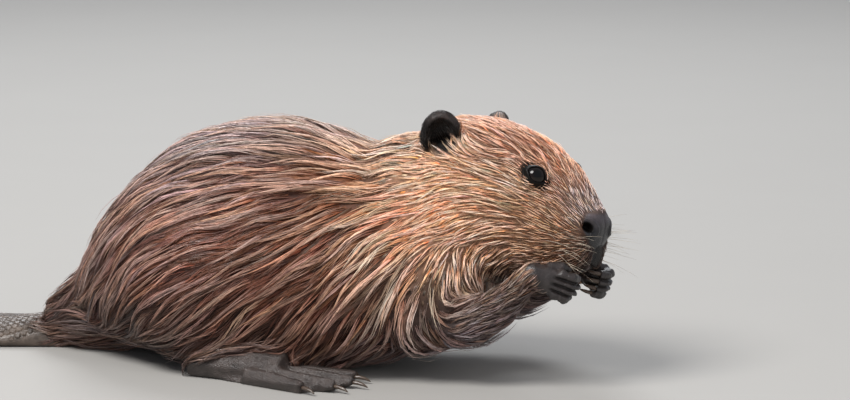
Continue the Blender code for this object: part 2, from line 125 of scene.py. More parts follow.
def readVectors(rows, name):
    flat = np.empty(len(rows) * 3)
    rows.foreach_get(name, flat)
    return flat.reshape(-1, 3)


def readPoints(mesh):
    return readVectors(mesh.vertices, "co")


def readNormals(mesh):
    return readVectors(mesh.vertex_normals, "vector")


def readField(mesh, name):
    values = np.empty(len(mesh.vertices))
    mesh.attributes[name].data.foreach_get("value", values)
    return values


def readMask(mesh, kind):
    return np.clip(readField(mesh, "on_" + kind), 0.0, 1.0)


def writeField(mesh, name, values):
    field = mesh.attributes.get(name) or mesh.attributes.new(name, "FLOAT", "POINT")
    field.data.foreach_set("value", np.asarray(values, dtype=np.float32))


def writeColours(mesh, name, colours):
    field = mesh.attributes.get(name) or mesh.attributes.new(name, "FLOAT_COLOR", "POINT")
    rgba = np.ones((len(colours), 4), dtype=np.float32)
    rgba[:, :3] = colours
    field.data.foreach_set("color", rgba.ravel())


def movePoints(mesh, points):
    mesh.vertices.foreach_set("co", points.ravel())
    mesh.update()


def linked(name, data):
    # a new object in the scene
    thing = bpy.data.objects.new(name, data)
    bpy.context.scene.collection.objects.link(thing)
    return thing


def newPiece(name, mesh, replaced=()):
    piece = linked(name, mesh)
    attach(piece, "root")
    if replaced:
        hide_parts(*replaced)
    return piece


def settledMesh(thing):
    # the object's mesh with its modifiers applied; the object is removed
    bpy.context.view_layer.update()
    graph = bpy.context.evaluated_depsgraph_get()
    mesh = bpy.data.meshes.new_from_object(thing.evaluated_get(graph))
    bpy.data.objects.remove(thing, do_unlink=True)
    return mesh


def withModifier(mesh, kind, **settings):
    thing = linked("work", mesh)
    modifier = thing.modifiers.new(kind, kind)
    for name, value in settings.items():
        setattr(modifier, name, value)
    return settledMesh(thing)


def newNodeGroup(name, inputs):
    # a Geometry Nodes tree with named inputs, and the node that gives them
    tree = bpy.data.node_groups.new(name, "GeometryNodeTree")
    for label, kind in (("Geometry", "Geometry"), *inputs):
        tree.interface.new_socket(label, in_out="INPUT", socket_type="NodeSocket" + kind)
    tree.interface.new_socket("Geometry", in_out="OUTPUT", socket_type="NodeSocketGeometry")
    return tree, addNode(tree, "NodeGroupInput").outputs


def throughNodes(mesh, tree, values):
    # what a Geometry Nodes tree makes of a mesh, its inputs set by their identifiers
    thing = linked("work", mesh)
    modifier = thing.modifiers.new(tree.name, "NODES")
    modifier.node_group = tree
    for socket in tree.interface.items_tree:
        if socket.in_out == "INPUT" and socket.name in values:
            modifier[socket.identifier] = values[socket.name]
    return settledMesh(thing)


def meshFrom(work, name):
    mesh = bpy.data.meshes.new(name)
    work.to_mesh(mesh)
    work.free()
    return mesh


def mergedCopy(names, grow):
    # copies of solids, each closed and swollen a little so that neighbours run into each other
    work = bmesh.new()
    for name in names:
        part = bmesh.new()
        part.from_mesh(nodes[name].data)
        bmesh.ops.remove_doubles(part, verts=part.verts, dist=2e-5)
        part.normal_update()
        for vertex in part.verts:
            vertex.co += vertex.normal * grow
        mesh = meshFrom(part, "part")
        work.from_mesh(mesh)
        bpy.data.meshes.remove(mesh)
    return meshFrom(work, "joined")


headPose = {
    "yaw": -13.0,             # degrees, turned to its right
    "pitch": 15.0,            # nose down
    "roll": -6.0,
    "eyeFromNose": (-0.058, 0.0335, 0.0155),   # the left eye from the nose tip, head level
}


def turned(yaw, pitch, roll=0.0):
    # degrees about the upright, the sideways and the forward axis
    turn = Matrix.Rotation(math.radians(yaw), 3, "Z") @ Matrix.Rotation(math.radians(pitch), 3, "Y")
    return turn @ Matrix.Rotation(math.radians(roll), 3, "X")


def findHead():
    turn = turned(headPose["yaw"], headPose["pitch"], headPose["roll"])
    eyes = [(low + high) / 2.0 for low, high in (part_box("eye_L"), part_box("eye_R"))]
    x, _, z = headPose["eyeFromNose"]
    nose = (eyes[0] + eyes[1]) / 2.0 - turn @ Vector((x, 0.0, z))
    return np.array(turn), np.array(nose)


headTurn, noseTip = findHead()


def toHead(points):
    return (points - noseTip) @ headTurn


def fromHead(points):
    return np.asarray(points) @ headTurn.T + noseTip


# by the part it grows on, in millimetres: depth of the coat and length of a lock; then how bare the skin is
coatPlan = {
    "abdomen": (8.0, 50.0, 0.0), "rump": (8.0, 48.0, 0.0), "thigh": (7.5, 42.0, 0.0),
    "chest": (8.0, 44.0, 0.0), "upper_arm": (7.0, 34.0, 0.0), "neck": (7.0, 36.0, 0.0),
    "tail_root": (3.2, 22.0, 0.0), "head": (3.6, 17.0, 0.0), "muzzle": (1.6, 7.0, 0.0),
    "lower_jaw": (1.5, 6.0, 0.0), "forearm": (2.4, 13.0, 0.0), "nose": (0.0, 1.0, 1.0),
    "ear": (0.0, 2.5, 0.85), "forepaw": (0.0, 2.0, 1.0), "hind_foot": (0.0, 2.0, 1.0),
    "tail": (0.0, 1.0, 1.0),
}
fleshNames = [n for n in sorted(nodes) if "claw" not in n and not n.startswith("eye")]


def planOf(name):
    key = max((k for k in coatPlan if name.startswith(k)), key=len)
    return coatPlan[key]


# the lie of the coat: places in millimetres and the way the hair runs there, the left side mirrored to the
# right; how far a place is felt, and how strongly
coatLie = {
    "body": {"reach": 0.034, "strength": 1.0, "guides": (
        ((140, 0, 185), (-1, 0, -0.05)), ((30, 0, 200), (-1, 0, 0)), ((-50, 0, 180), (-1, 0, -0.4)),
        ((-90, 0, 130), (-0.5, 0, -0.85)), ((-110, 0, 70), (-0.5, 0, -0.85)),
        ((170, 70, 150), (-1, 0, -0.35)), ((120, 90, 130), (-1, 0, -0.62)),
        ((160, 95, 100), (-0.75, 0, -0.75)), ((200, 90, 80), (-0.45, 0, -0.9)),
        ((230, 40, 60), (-0.3, 0, -0.95)), ((50, 90, 155), (-1, 0, -0.2)),
        ((40, 108, 105), (-1, 0, -0.42)), ((50, 105, 50), (-0.8, 0, -0.75)),
        ((-20, 110, 90), (-0.9, 0, -0.55)), ((-70, 80, 90), (-0.65, 0, -0.75)),
        ((130, 100, 60), (-0.65, 0, -0.8)), ((50, 0, 0), (-1, 0, 0)), ((180, 0, 30), (-1, 0, -0.3)),
        ((-130, 20, 40), (-1, 0, -0.2)), ((-150, 0, 20), (-1, 0, -0.1)), ((0, 100, 30), (-0.8, 0, -0.5)),
        ((215, 85, 45), (0.7, 0, -0.2)), ((255, 72, 60), (0.9, -0.3, 0.4)),
    )},
    # the rest in the head's own frame, from the nose tip
    "head": {"reach": 0.018, "strength": 1.0, "guides": (
        ((-20, 0, 12), (-1, 0, 0.5)), ((-35, 0, 25), (-1, 0, 0.4)), ((-65, 0, 40), (-1, 0, 0.15)),
        ((-110, 0, 45), (-1, 0, 0)), ((-160, 0, 35), (-1, 0, -0.1)), ((-30, 34, -15), (-1, 0.15, 0.3)),
        ((-55, 36, 30), (-1, 0.1, 0.25)), ((-85, 50, 14), (-1, 0.1, 0.05)),
        ((-62, 46, -10), (-1, 0.2, -0.1)), ((-95, 60, -30), (-1, 0.1, -0.45)),
        ((-130, 60, -40), (-0.7, 0, -0.7)), ((-30, 35, -40), (-1, 0.2, -0.1)),
        ((-70, 45, -60), (-0.9, 0.1, -0.35)), ((-110, 50, -70), (-0.5, 0, -0.87)),
        ((-140, 55, 0), (-1, 0, -0.25)), ((-40, 0, -72), (-1, 0, -0.3)), ((-90, 0, -85), (-1, 0, -0.5)),
        ((-5, 14, -42), (-0.4, 0.5, -0.7)),
    )},
    "ear": {"reach": 0.011, "strength": 12.0, "guides": (((-140, 49, 30), (-0.45, 0.25, 1)),)},
    "forearm": {"reach": 0.0095, "strength": 8.0, "guides": (
        ((-30, 56, -58), (0.61, -0.09, 0.78)), ((-42, 59, -74), (0.61, -0.09, 0.78)),
        ((-55, 61, -90), (0.61, -0.09, 0.78)), ((-68, 63, -104), (0.65, -0.09, 0.70)),
    )},
}


def gatherLie():
    places, ways, reaches, strengths = [], [], [], []
    for kind, lie in coatLie.items():
        for place, way in lie["guides"]:
            for side in ((1.0, -1.0) if place[1] else (1.0,)):
                here, there = (np.array(v) * (1, side, 1) for v in (np.array(place) / 1000.0, way))
                places.append(here if kind == "body" else fromHead(here))
                ways.append(there if kind == "body" else headTurn @ there)
                reaches.append(lie["reach"])
                strengths.append(lie["strength"])
    return np.array(places), unit(np.array(ways)), np.array(reaches), np.array(strengths)


guides = gatherLie()
ripplePlan = {"waves": 7, "shortest": 0.018, "longest": 0.060}
rippleDirections = unit(rng.normal(size=(ripplePlan["waves"], 3)))
rippleLengths = rng.uniform(ripplePlan["shortest"], ripplePlan["longest"], ripplePlan["waves"])
ripplePhases = rng.uniform(0.0, math.tau, ripplePlan["waves"])


def ripple(points):
    # a slow wander between about -1 and 1
    turns = points @ rippleDirections.T * (math.tau / rippleLengths) + ripplePhases
    return np.sin(turns).sum(axis=1) / math.sqrt(ripplePlan["waves"])


def lieOfCoat(points, normals, wander):
    ways = np.zeros_like(points)
    for place, way, reach, strength in zip(*guides):
        near = strength * np.exp(-((points - place) ** 2).sum(axis=1) / (2.0 * reach * reach))
        ways += (near + 1e-9)[:, None] * way
    ways = unit(ways)
    ways = unit(ways - normals * (ways * normals).sum(axis=1)[:, None])
    across = np.cross(normals, ways)
    angle = ripple(points)[:, None] * wander
    return ways * np.cos(angle) + across * np.sin(angle)


# markings, the same for hide and coat: place and spread of each patch in millimetres, y for both sides,
# then its colour and strength
groundColour, groundStrength = "#80655a", 0.25
markings = {
    "head": (
        ((-105, 0, 40), (50, 50, 24), "#d09678", 1.6),      # reddish crown
        ((-45, 0, 28), (22, 28, 16), "#e6b392", 1.7),
        ((-16, 0, 6), (14, 22, 16), "#90786e", 1.6),        # grey over the nose
        ((-10, 0, 6), (12, 22, 8), "#cbb9b2", 3.6),
        ((-28, 36, -16), (12, 14, 14), "#cfa27c", 1.2),
        ((-4, 0, -34), (9, 12, 16), "#2c2421", 4.0),        # black round the lips
        ((-100, 60, -30), (34, 30, 28), "#f0bd95", 1.8),    # tan cheek
        ((-78, 46, 0), (18, 20, 10), "#f6cba6", 1.5),
        ((-68, 40, 3), (11, 14, 4.5), "#ffe2c4", 2.4),      # pale under the eye
        ((-148, 58, 4), (29, 36, 28), "#ffdcbc", 3.8),      # golden behind the ear
        ((-30, 36, -46), (22, 20, 18), "#aa8062", 1.3),
        ((-50, 44, -30), (20, 20, 16), "#c2936e", 1.0),
        ((-60, 0, -85), (50, 30, 20), "#7e6050", 1.2),
    ),
    "body": (
        ((208, 90, 108), (30, 50, 27), "#ffd8bb", 4.4),     # pale side of the chest
        ((145, 80, 145), (34, 50, 36), "#a57354", 2.8),     # orange-brown shoulder
        ((135, 100, 85), (40, 50, 36), "#7c543e", 3.6),
        ((60, 105, 115), (60, 60, 34), "#b07f6c", 1.7),
        ((20, 0, 200), (130, 80, 36), "#a18a82", 1.7),      # greyer back
        ((-90, 30, 110), (50, 90, 70), "#87675b", 1.6),
        ((215, 75, 45), (50, 50, 26), "#8a797b", 2.4),      # grey-brown low chest
        ((30, 90, 40), (150, 90, 32), "#4c3830", 2.2),
        ((255, 70, 55), (35, 40, 24), "#453a37", 5.0),      # wet forearms
    ),
}


def nearness(points, place, spread):
    # 1 at a place, falling off with its spread
    return np.exp(-0.5 * (((points - place) / spread) ** 2).sum(axis=1))


def markingColours(points):
    total = np.full(len(points), groundStrength)
    colours = np.outer(total, linear(groundColour))
    for space, patches in markings.items():
        local = folded(toHead(points) if space == "head" else points)
        for place, spread, colour, strength in patches:
            weight = strength * nearness(local, np.array(place) / 1000.0, np.array(spread) / 1000.0)
            total += weight
            colours += weight[:, None] * np.array(linear(colour))
    return colours / total[:, None]


hidePlan = {
    "voxel": 0.0013,          # metres
    "grow": 0.0006,           # closes the gaps between the solids
    "furRounds": 110,         # relaxing of furred and bare stretches
    "bareRounds": 12, "footRounds": 45,
    "pull": (0.55, -0.57),    # Taubin's two steps
    "faces": 106000,          # triangles kept before the face is refined
    "fieldRounds": (30, 60, 3),    # how far the coat's plan and the masks run over the seams
    "fine": ("nose", "ear", "forepaw", "hind_foot", "muzzle"),     # where none is given up
}


def edgeWeb(mesh):
    # the two ends of every edge, and how many edges meet at every point
    flat = np.empty(len(mesh.edges) * 2, dtype=np.int64)
    mesh.edges.foreach_get("vertices", flat)
    return flat.reshape(-1, 2), np.maximum(np.bincount(flat, minlength=len(mesh.vertices)), 1)


def neighbourMean(values, web):
    ends, degree = web
    total = np.zeros_like(values)
    for k, column in enumerate(values.T):
        total[:, k] = (np.bincount(ends[:, 0], column[ends[:, 1]], len(values))
                       + np.bincount(ends[:, 1], column[ends[:, 0]], len(values)))
    return total / degree[:, None]


def relax(points, web, rounds, share):
    # Taubin smoothing, which takes out facets and keeps the size
    for _ in range(rounds):
        for pull in hidePlan["pull"]:
            points = points + (neighbourMean(points, web) - points) * pull * share[:, None]
    return points


def spreadOut(values, web, rounds):
    for _ in range(rounds):
        values = 0.5 * values + 0.5 * neighbourMean(values, web)
    return values


def nearestNodes(points):
    # which solid each point of the hide belongs to
    corners, faces, owner = [], [], []
    for k, name in enumerate(fleshNames):
        mesh = nodes[name].data
        start = len(corners)
        corners.extend(vertex.co.copy() for vertex in mesh.vertices)
        for face in mesh.polygons:
            faces.append([start + v for v in face.vertices])
            owner.append(k)
    tree = BVHTree.FromPolygons(corners, faces)
    found = [tree.find_nearest(point)[2] for point in points.tolist()]
    return np.array(owner)[found]


def ownedBy(kind, owner):
    named = [name.startswith(kind) and name != "tail_root" for name in fleshNames]
    return np.array(named, dtype=float)[owner]


def makeHide():
    mesh = mergedCopy(fleshNames + ["eye_L", "eye_R"], hidePlan["grow"])
    mesh = withModifier(mesh, "REMESH", mode="VOXEL", voxel_size=hidePlan["voxel"])
    points = readPoints(mesh)
    web = edgeWeb(mesh)
    owner = nearestNodes(points)
    fields = np.array([planOf(name) for name in fleshNames])[owner]
    print("hide: remeshed,", len(points), "points")
    before, after, masked = hidePlan["fieldRounds"]
    fields = spreadOut(fields, web, before)
    furred = np.clip(1.0 - fields[:, 2], 0.0, 1.0)
    points = relax(points, web, hidePlan["bareRounds"], np.full(len(points), 0.9))
    points = relax(points, web, hidePlan["furRounds"], furred ** 2)
    points = relax(points, web, hidePlan["footRounds"], ownedBy("hind_foot", owner) * 0.9)
    fields = spreadOut(fields, web, after)
    movePoints(mesh, points)
    depth = fields[:, 0] * smoothStep(1.0, 0.35, fields[:, 2]) / 1000.0
    movePoints(mesh, points - readNormals(mesh) * depth[:, None])
    writeField(mesh, "depth", depth)
    writeField(mesh, "reach", fields[:, 1] / 1000.0)
    writeField(mesh, "bare", fields[:, 2])
    for kind in (*hidePlan["fine"], "tail", "forearm"):
        writeField(mesh, "on_" + kind, spreadOut(ownedBy(kind, owner)[:, None], web, masked)[:, 0])
    return thinWhereFurred(mesh)


def thinWhereFurred(mesh):
    # fewer faces where the form is plain
    kept = sum(readField(mesh, "on_" + kind) for kind in hidePlan["fine"])
    thing = linked("work", mesh)
    group = thing.vertex_groups.new(name="thin")
    group.add(np.nonzero(kept < 0.5)[0].tolist(), 1.0, "REPLACE")
    modifier = thing.modifiers.new("thin", "DECIMATE")
    modifier.ratio = hidePlan["faces"] / (2.0 * len(mesh.polygons))
    modifier.vertex_group = group.name
    return settledMesh(thing)


hideMesh = makeHide()
print("hide: thinned to", len(hideMesh.polygons), "faces")

eyePlan = {
    "radius": 0.0092,         # metres, the ball
    "cornea": (0.035, 0.62),  # how much it swells, and over how wide an angle
    "opening": (0.0076, 0.0058),   # half length and half height between the lids
    "tilt": -8.0,             # degrees, the front corner lower
    "margin": 0.00035,        # the lid's edge stands this far off the ball
    "skirt": 1.90,            # the lid runs out this many openings from the middle
    "corner": 0.30,           # how much the opening narrows to its corners
    "edge": 0.07,             # points this near to the opening's edge are drawn onto it
    "lidFur": 0.0007,         # depth of the short fur round the lids
    "thinning": (1.4, 3.4), "shortening": 0.6,      # between these many openings, and of the locks' length
    "offBall": 0.0005, "sunk": 0.0015,              # the lids over the ball, the hide behind it
    "lidEdge": (0.0002, 1.15, 0.10),                # rise, then place and width in openings
    "fold": (0.0006, 1.50, 0.12),                   # depth, place and width
    "darkRim": (0.0112, 0.0081),
    "refine": (0.019, 0.0125),     # finer faces this far round, twice
}
facePlan = {
    "nostril": (-0.0084, 0.0186, -0.0098),     # left side, from the nose tip
    "nostrilWay": (0.93, 0.0, -0.36),
    "nostrilSize": (0.0056, 0.0038),
    "nostrilDepth": 0.0060, "nostrilRim": 0.0011,
    "cleftDepth": 0.0036, "cleftHalfWidth": 0.0036, "cleftDark": 0.0082,
    "front": (-0.026, -0.012), "cleftTop": (-0.022, -0.030), "cleftEnd": (-0.066, -0.056),
    "mouthCorner": (-0.066, -0.052), "mouthTop": -0.040,
    "lipPad": (0.0100, -0.041), "lipPadSize": (0.0052, 0.010), "lipPadRise": 0.0022,
    "grooveDepth": 0.0006, "grooveHalfWidth": 0.0011,    # down the middle of the nose pad
    "mouthDepth": 0.0022, "mouthHalfWidth": 0.0014,
    "jaw": ((-0.032, 0.0, -0.056), (0.042, 0.021, 0.018)),    # the lower jaw's mass
    "nosePad": ((-0.012, 0.0, -0.012), (0.0170, 0.0215, 0.0170)),
    "padTop": 0.0005,         # short fur above this height
    "topFur": (0.0009, 0.0046),    # its depth and length
    "padEdge": 0.0007, "padEdgeHalfWidth": 0.0012,
    "refine": ((-0.008, 0.015, -0.015), (-0.008, -0.015, -0.015), (-0.006, 0.0, -0.042)),
    "refineReach": 0.014,     # finer faces this far round those places
}


def refineNear(mesh, centres, reach):
    work = bmesh.new()
    work.from_mesh(mesh)
    near = set()
    for centre in centres:
        place = Vector(centre)
        near.update(v for v in work.verts if (v.co - place).length < reach)
    edges = [e for e in work.edges if e.verts[0] in near and e.verts[1] in near]
    bmesh.ops.subdivide_edges(work, edges=edges, cuts=1, use_grid_fill=True)
    bmesh.ops.triangulate(work, faces=[f for f in work.faces if len(f.verts) > 4])
    work.to_mesh(mesh)
    work.free()
    mesh.update()


def eyeCentre(side):
    return np.array(sum(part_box("eye_" + side), Vector()) / 2.0)


def eyeFrame(side):
    # the ball's middle, the way it looks, and the opening's long and short way
    centre = eyeCentre(side)
    points, normals = readPoints(hideMesh), readNormals(hideMesh)
    near = np.linalg.norm(points - centre, axis=1) < 0.014
    outward = unit(normals[near & (toHead(normals + noseTip)[:, 1] * sides[side] > 0)].mean(axis=0))
    tilt = math.radians(eyePlan["tilt"])
    forward = headTurn @ np.array((math.cos(tilt), 0.0, math.sin(tilt)))
    along = unit(forward - outward * (forward @ outward))
    return centre, outward, along, np.cross(outward, along) * sides[side]


def shapeLids(mesh, side):
    centre, outward, along, up = eyeFrame(side)
    points, normals = readPoints(mesh), readNormals(mesh)
    off = points - centre
    a, b, height = off @ along, off @ up, off @ outward
    facing = normals @ outward > 0.0
    halfLong, halfHigh = eyePlan["opening"]
    narrow = 1.0 - eyePlan["corner"] * np.clip(a / halfLong, -1.0, 1.0) ** 2
    share = np.sqrt((a / halfLong) ** 2 + (b / (halfHigh * narrow)) ** 2)
    mine = (share < eyePlan["skirt"] + 0.4) & (height > -0.010) & facing
    edge = mine & (share > 1.0 - eyePlan["edge"]) & (share < 1.0 + eyePlan["edge"])
    a, b = (np.where(edge, way / np.maximum(share, 1e-6), way) for way in (a, b))
    share = np.where(edge, 1.0, share)

    # the fur thins towards the lids, and the hide comes up by as much
    thin = (1.0 - smoothStep(*eyePlan["thinning"], share)) * facing * (height > -0.012)
    depth, reach = readField(mesh, "depth"), readField(mesh, "reach")
    raised = np.maximum(depth - eyePlan["lidFur"], 0.0) * thin
    writeField(mesh, "depth", depth - raised)
    writeField(mesh, "reach", reach * (1.0 - eyePlan["shortening"] * thin))
    height = height + raised
    points = points + outward * raised[:, None]

    # the lids lie on the ball, with a thick edge and a fold above
    across = np.minimum(np.hypot(a, b), eyePlan["radius"] * 0.98)
    ball = np.sqrt(eyePlan["radius"] ** 2 - across ** 2)
    ring = np.stack([a, b], axis=1) / np.maximum(share, 1e-6)[:, None]
    rim = np.sqrt(eyePlan["radius"] ** 2 - (ring ** 2).sum(axis=1)) + eyePlan["margin"]
    fall = 1.0 - smoothStep(1.05, eyePlan["skirt"], share)
    lid = np.maximum(height + (rim - height) * fall, ball + eyePlan["offBall"])
    rise, place, width = eyePlan["lidEdge"]
    lid += rise * hump(share - place, width)
    deep, place, width = eyePlan["fold"]
    lid -= deep * hump(share - place, width) * smoothStep(-0.002, 0.003, b)
    inside = share < 1.0 - eyePlan["edge"]
    height = np.where(mine, np.where(inside, ball - eyePlan["sunk"], lid), height)
    moved = centre + np.outer(a, along) + np.outer(b, up) + np.outer(height, outward)
    movePoints(mesh, np.where(mine[:, None], moved, points))
    rim = np.hypot(a / eyePlan["darkRim"][0], b / eyePlan["darkRim"][1])
    return [np.where(mine, 1.0 - smoothStep(low, high, rim), 0.0)
            for low, high in ((1.05, 1.40), (0.80, 0.98))]


def nostrilShare(local):
    # 0 at the middle of the near nostril, 1 at its edge
    middle, radii = facePlan["nosePad"]
    place = np.array(facePlan["nostril"])
    outward = unit((place - middle) / np.array(radii) ** 2)
    off = folded(local) - place
    along = unit(np.array(facePlan["nostrilWay"]) - outward * (outward @ facePlan["nostrilWay"]))
    long, short = facePlan["nostrilSize"]
    share = np.hypot(off @ along / long, off @ np.cross(outward, along) / short)
    return np.where(np.abs(off @ outward) < 0.007, share, 9.0)


def shapeFace(mesh):
    plan = facePlan
    points, normals = readPoints(mesh), readNormals(mesh)
    local = toHead(points)
    x, y, z = local.T
    push = np.zeros(len(points))
    share = nostrilShare(local)
    push -= plan["nostrilDepth"] * (1.0 - smoothStep(0.2, 1.05, share))
    push += plan["nostrilRim"] * hump(share - 1.5, 0.32)

    # the bare cleft from the nose to the lip, between two furred pads
    front = smoothStep(*plan["front"], x)
    down = smoothStep(*plan["cleftTop"], z) * smoothStep(*plan["cleftEnd"], z)
    push -= plan["cleftDepth"] * hump(y, plan["cleftHalfWidth"]) * front * down
    padOff = [(v - at) / size for v, at, size in zip((np.abs(y), z), plan["lipPad"], plan["lipPadSize"])]
    push += plan["lipPadRise"] * np.exp(-padOff[0] ** 2 - padOff[1] ** 2) * front
    push -= plan["grooveDepth"] * hump(y, plan["grooveHalfWidth"]) * front * smoothStep(-0.028, -0.020, z)

    # the mouth's line round the lower jaw, and the rim of the nose pad
    far, padFar = (np.linalg.norm((local - middle) / radii, axis=1)
                   for middle, radii in (plan["jaw"], plan["nosePad"]))
    nearMouth = np.exp(-((far - 1.0) * 0.021 / plan["mouthHalfWidth"]) ** 2)
    nearMouth *= smoothStep(*plan["mouthCorner"], x) * (z < plan["mouthTop"])
    push -= plan["mouthDepth"] * nearMouth
    below = smoothStep(0.0012, -0.0012, z - plan["padTop"])
    onPad = smoothStep(1.06, 0.98, padFar) * below
    furred = smoothStep(1.45, 1.25, padFar) * (1.0 - below) * (x > -0.03)
    for name, least in zip(("depth", "reach"), plan["topFur"]):
        writeField(mesh, name, np.maximum(readField(mesh, name), least * furred))
    writeField(mesh, "bare", readField(mesh, "bare") * (1.0 - furred))
    push -= plan["padEdge"] * np.exp(-((padFar - 1.03) * 0.017 / plan["padEdgeHalfWidth"]) ** 2)
    movePoints(mesh, points + normals * push[:, None])
    cleft = np.exp(-(y / plan["cleftDark"]) ** 4) * front * down
    # the nostrils and the mouth's line are returned to be painted darkest, as the shade in their recesses,
    # with the cleft and the nose pad
    return 1.0 - smoothStep(0.75, 1.2, share), np.clip(cleft, 0.0, 1.0), nearMouth, onPad


pawPlan = {
    "place": (-0.019, 0.0420, -0.0560), "yaw": -32.0, "pitch": 6.0,     # the left palm in the head's frame
    "gaps": (0.0051, 0.0, -0.00495),     # height of each cleft between the fingers
    "fan": 6.0,                          # the fingers spread by this much per metre
    "depth": 0.0030, "halfWidth": 0.0011,
    "knuckles": (0.0085, 0.0185), "knuckleRise": 0.0009, "knuckleHalf": 0.0022,
    "wrinkleBehind": 0.0045, "wrinkleDepth": 0.0004, "wrinkleHalf": 0.0010,
    "refineAt": (0.010, 0.0, 0.0), "refineReach": 0.027,
}


def shapePaws(mesh):
    # the fingers part, with knuckles and finger tips; the clefts between them are returned, to be painted
    # dark as shade
    plan = pawPlan
    points, normals = readPoints(mesh), readNormals(mesh)
    turn = np.array(turned(plan["yaw"], plan["pitch"]))
    x, _, z = ((folded(toHead(points)) - np.array(plan["place"])) @ turn).T
    push, crease = np.zeros((2, len(points)))
    near = smoothStep(0.3, 0.8, readField(mesh, "on_forepaw"))
    out = smoothStep(0.001, 0.009, x) * near
    spread = 1.0 + plan["fan"] * x
    for gap in plan["gaps"]:
        line = hump(z - gap * spread, plan["halfWidth"])
        push -= plan["depth"] * line * out
        crease = np.maximum(crease, line * out)
    for knuckle in plan["knuckles"]:
        push += plan["knuckleRise"] * hump(x - knuckle, plan["knuckleHalf"]) * near * (1.0 - crease)
        push -= plan["wrinkleDepth"] * hump(x - knuckle - plan["wrinkleBehind"], plan["wrinkleHalf"]) * near
    movePoints(mesh, points + normals * push[:, None])
    return crease


# finer faces where the sculpting needs them
for reach in eyePlan["refine"]:
    refineNear(hideMesh, [eyeCentre(side) for side in sides], reach)
refineNear(hideMesh, [fromHead(place) for place in facePlan["refine"]], facePlan["refineReach"])
pawMiddles = [np.array(pawPlan["place"]) * (1, sign, 1) + pawPlan["refineAt"] for sign in sides.values()]
refineNear(hideMesh, [fromHead(place) for place in pawMiddles], pawPlan["refineReach"])
eyes = {side: eyeFrame(side) for side in sides}
rimDark, rimBare = np.maximum.reduce([np.array(shapeLids(hideMesh, side)) for side in sides])
nostrilShade, cleftDark, mouthDark, noseDark = shapeFace(hideMesh)
fingerCleftShade = shapePaws(hideMesh)
print("hide: face shaped,", len(hideMesh.vertices), "points")

skinPlan = {
    "nose": "#1b1a1c", "ear": "#0f0d0c", "forepaw": "#2d2827", "hind_foot": "#3a3330", "tail": "#4a4038",
    "noseTop": "#4a4244", "earRim": "#332d2b", "backlitEar": "#6e5f56", "darkSkinAndShade": "#0b0908",
    "grain": {"ear": 0.10, "forepaw": 0.32, "nose": 0.40, "tail": 0.3},     # how coarse the bare skin is
    "underHue": 1.6,          # the hide's colour under the coat, against the coat's own
    "shadedUnderFur": (0.12, 0.2),  # its brightness, dark as painted shade in the gaps between the locks, and how much more where dry
    "furGrain": (0.2, 0.8),   # under the coat, and how much more where bare
    "shine": 0.5,             # where it is wet
    # how far the lip's cleft, and the clefts between the fingers as painted shade, go to the darkest colour
    "darkening": {"cleft": 0.9, "paws": 0.6},
    "dulling": {"ear": 0.75, "lids": 0.7, "mouth": 0.8, "all": 0.95, "grain": 0.85},
}
earPlan = {
    "place": (-0.1385, 0.0475, 0.022), "radius": 0.019,      # the left ear, head frame
    "tuft": (-0.122, 0.043, 0.034), "tuftReach": 0.010,      # longer hairs before it
    "hollow": (-0.1340, 0.0530, 0.0180), "hollowReach": 0.0120,
    "furReach": (0.036, 0.030),                              # where the coat begins again
    "furRound": (0.0014, 0.0095), "furShare": 0.75,          # its depth and length there
}
dryPlan = {"place": (-0.130, 0.060, -0.024), "spread": (0.026, 0.042, 0.026)}
luminance = np.array((0.2126, 0.7152, 0.0722))


def fromEar(points, place):
    # how far each point is from a place on the nearer ear
    return np.linalg.norm(folded(toHead(points)) - earPlan[place], axis=1)


def earHollow(points):
    return 1.0 - smoothStep(0.85, 1.1, fromEar(points, "hollow") / earPlan["hollowReach"])


def earEdge(points):
    # the pale upper rim of the ears
    high = smoothStep(0.002, 0.012, toHead(points)[:, 2] - earPlan["place"][2])
    return smoothStep(0.74, 0.95, fromEar(points, "place") / earPlan["radius"]) * high


def earInner(mesh, points):
    # the side of each ear that faces the crown, painted paler as if lit from behind
    way = toHead(readNormals(mesh) + noseTip)[:, 1] * np.sign(toHead(points)[:, 1])
    return smoothStep(0.05, -0.5, way)


def dryness(points):
    # where the coat is drier: its low hairs are as pale as the tips
    return nearness(folded(toHead(points)), dryPlan["place"], np.array(dryPlan["spread"]))


def deepened(colours, power):
    # stronger in hue above 1, greyer below it, as bright as before
    grey = np.maximum(colours @ luminance, 1e-5)[:, None]
    changed = (np.maximum(colours, 1e-5) / grey) ** np.reshape(power, (-1, 1))
    return grey * changed / (changed @ luminance)[:, None]


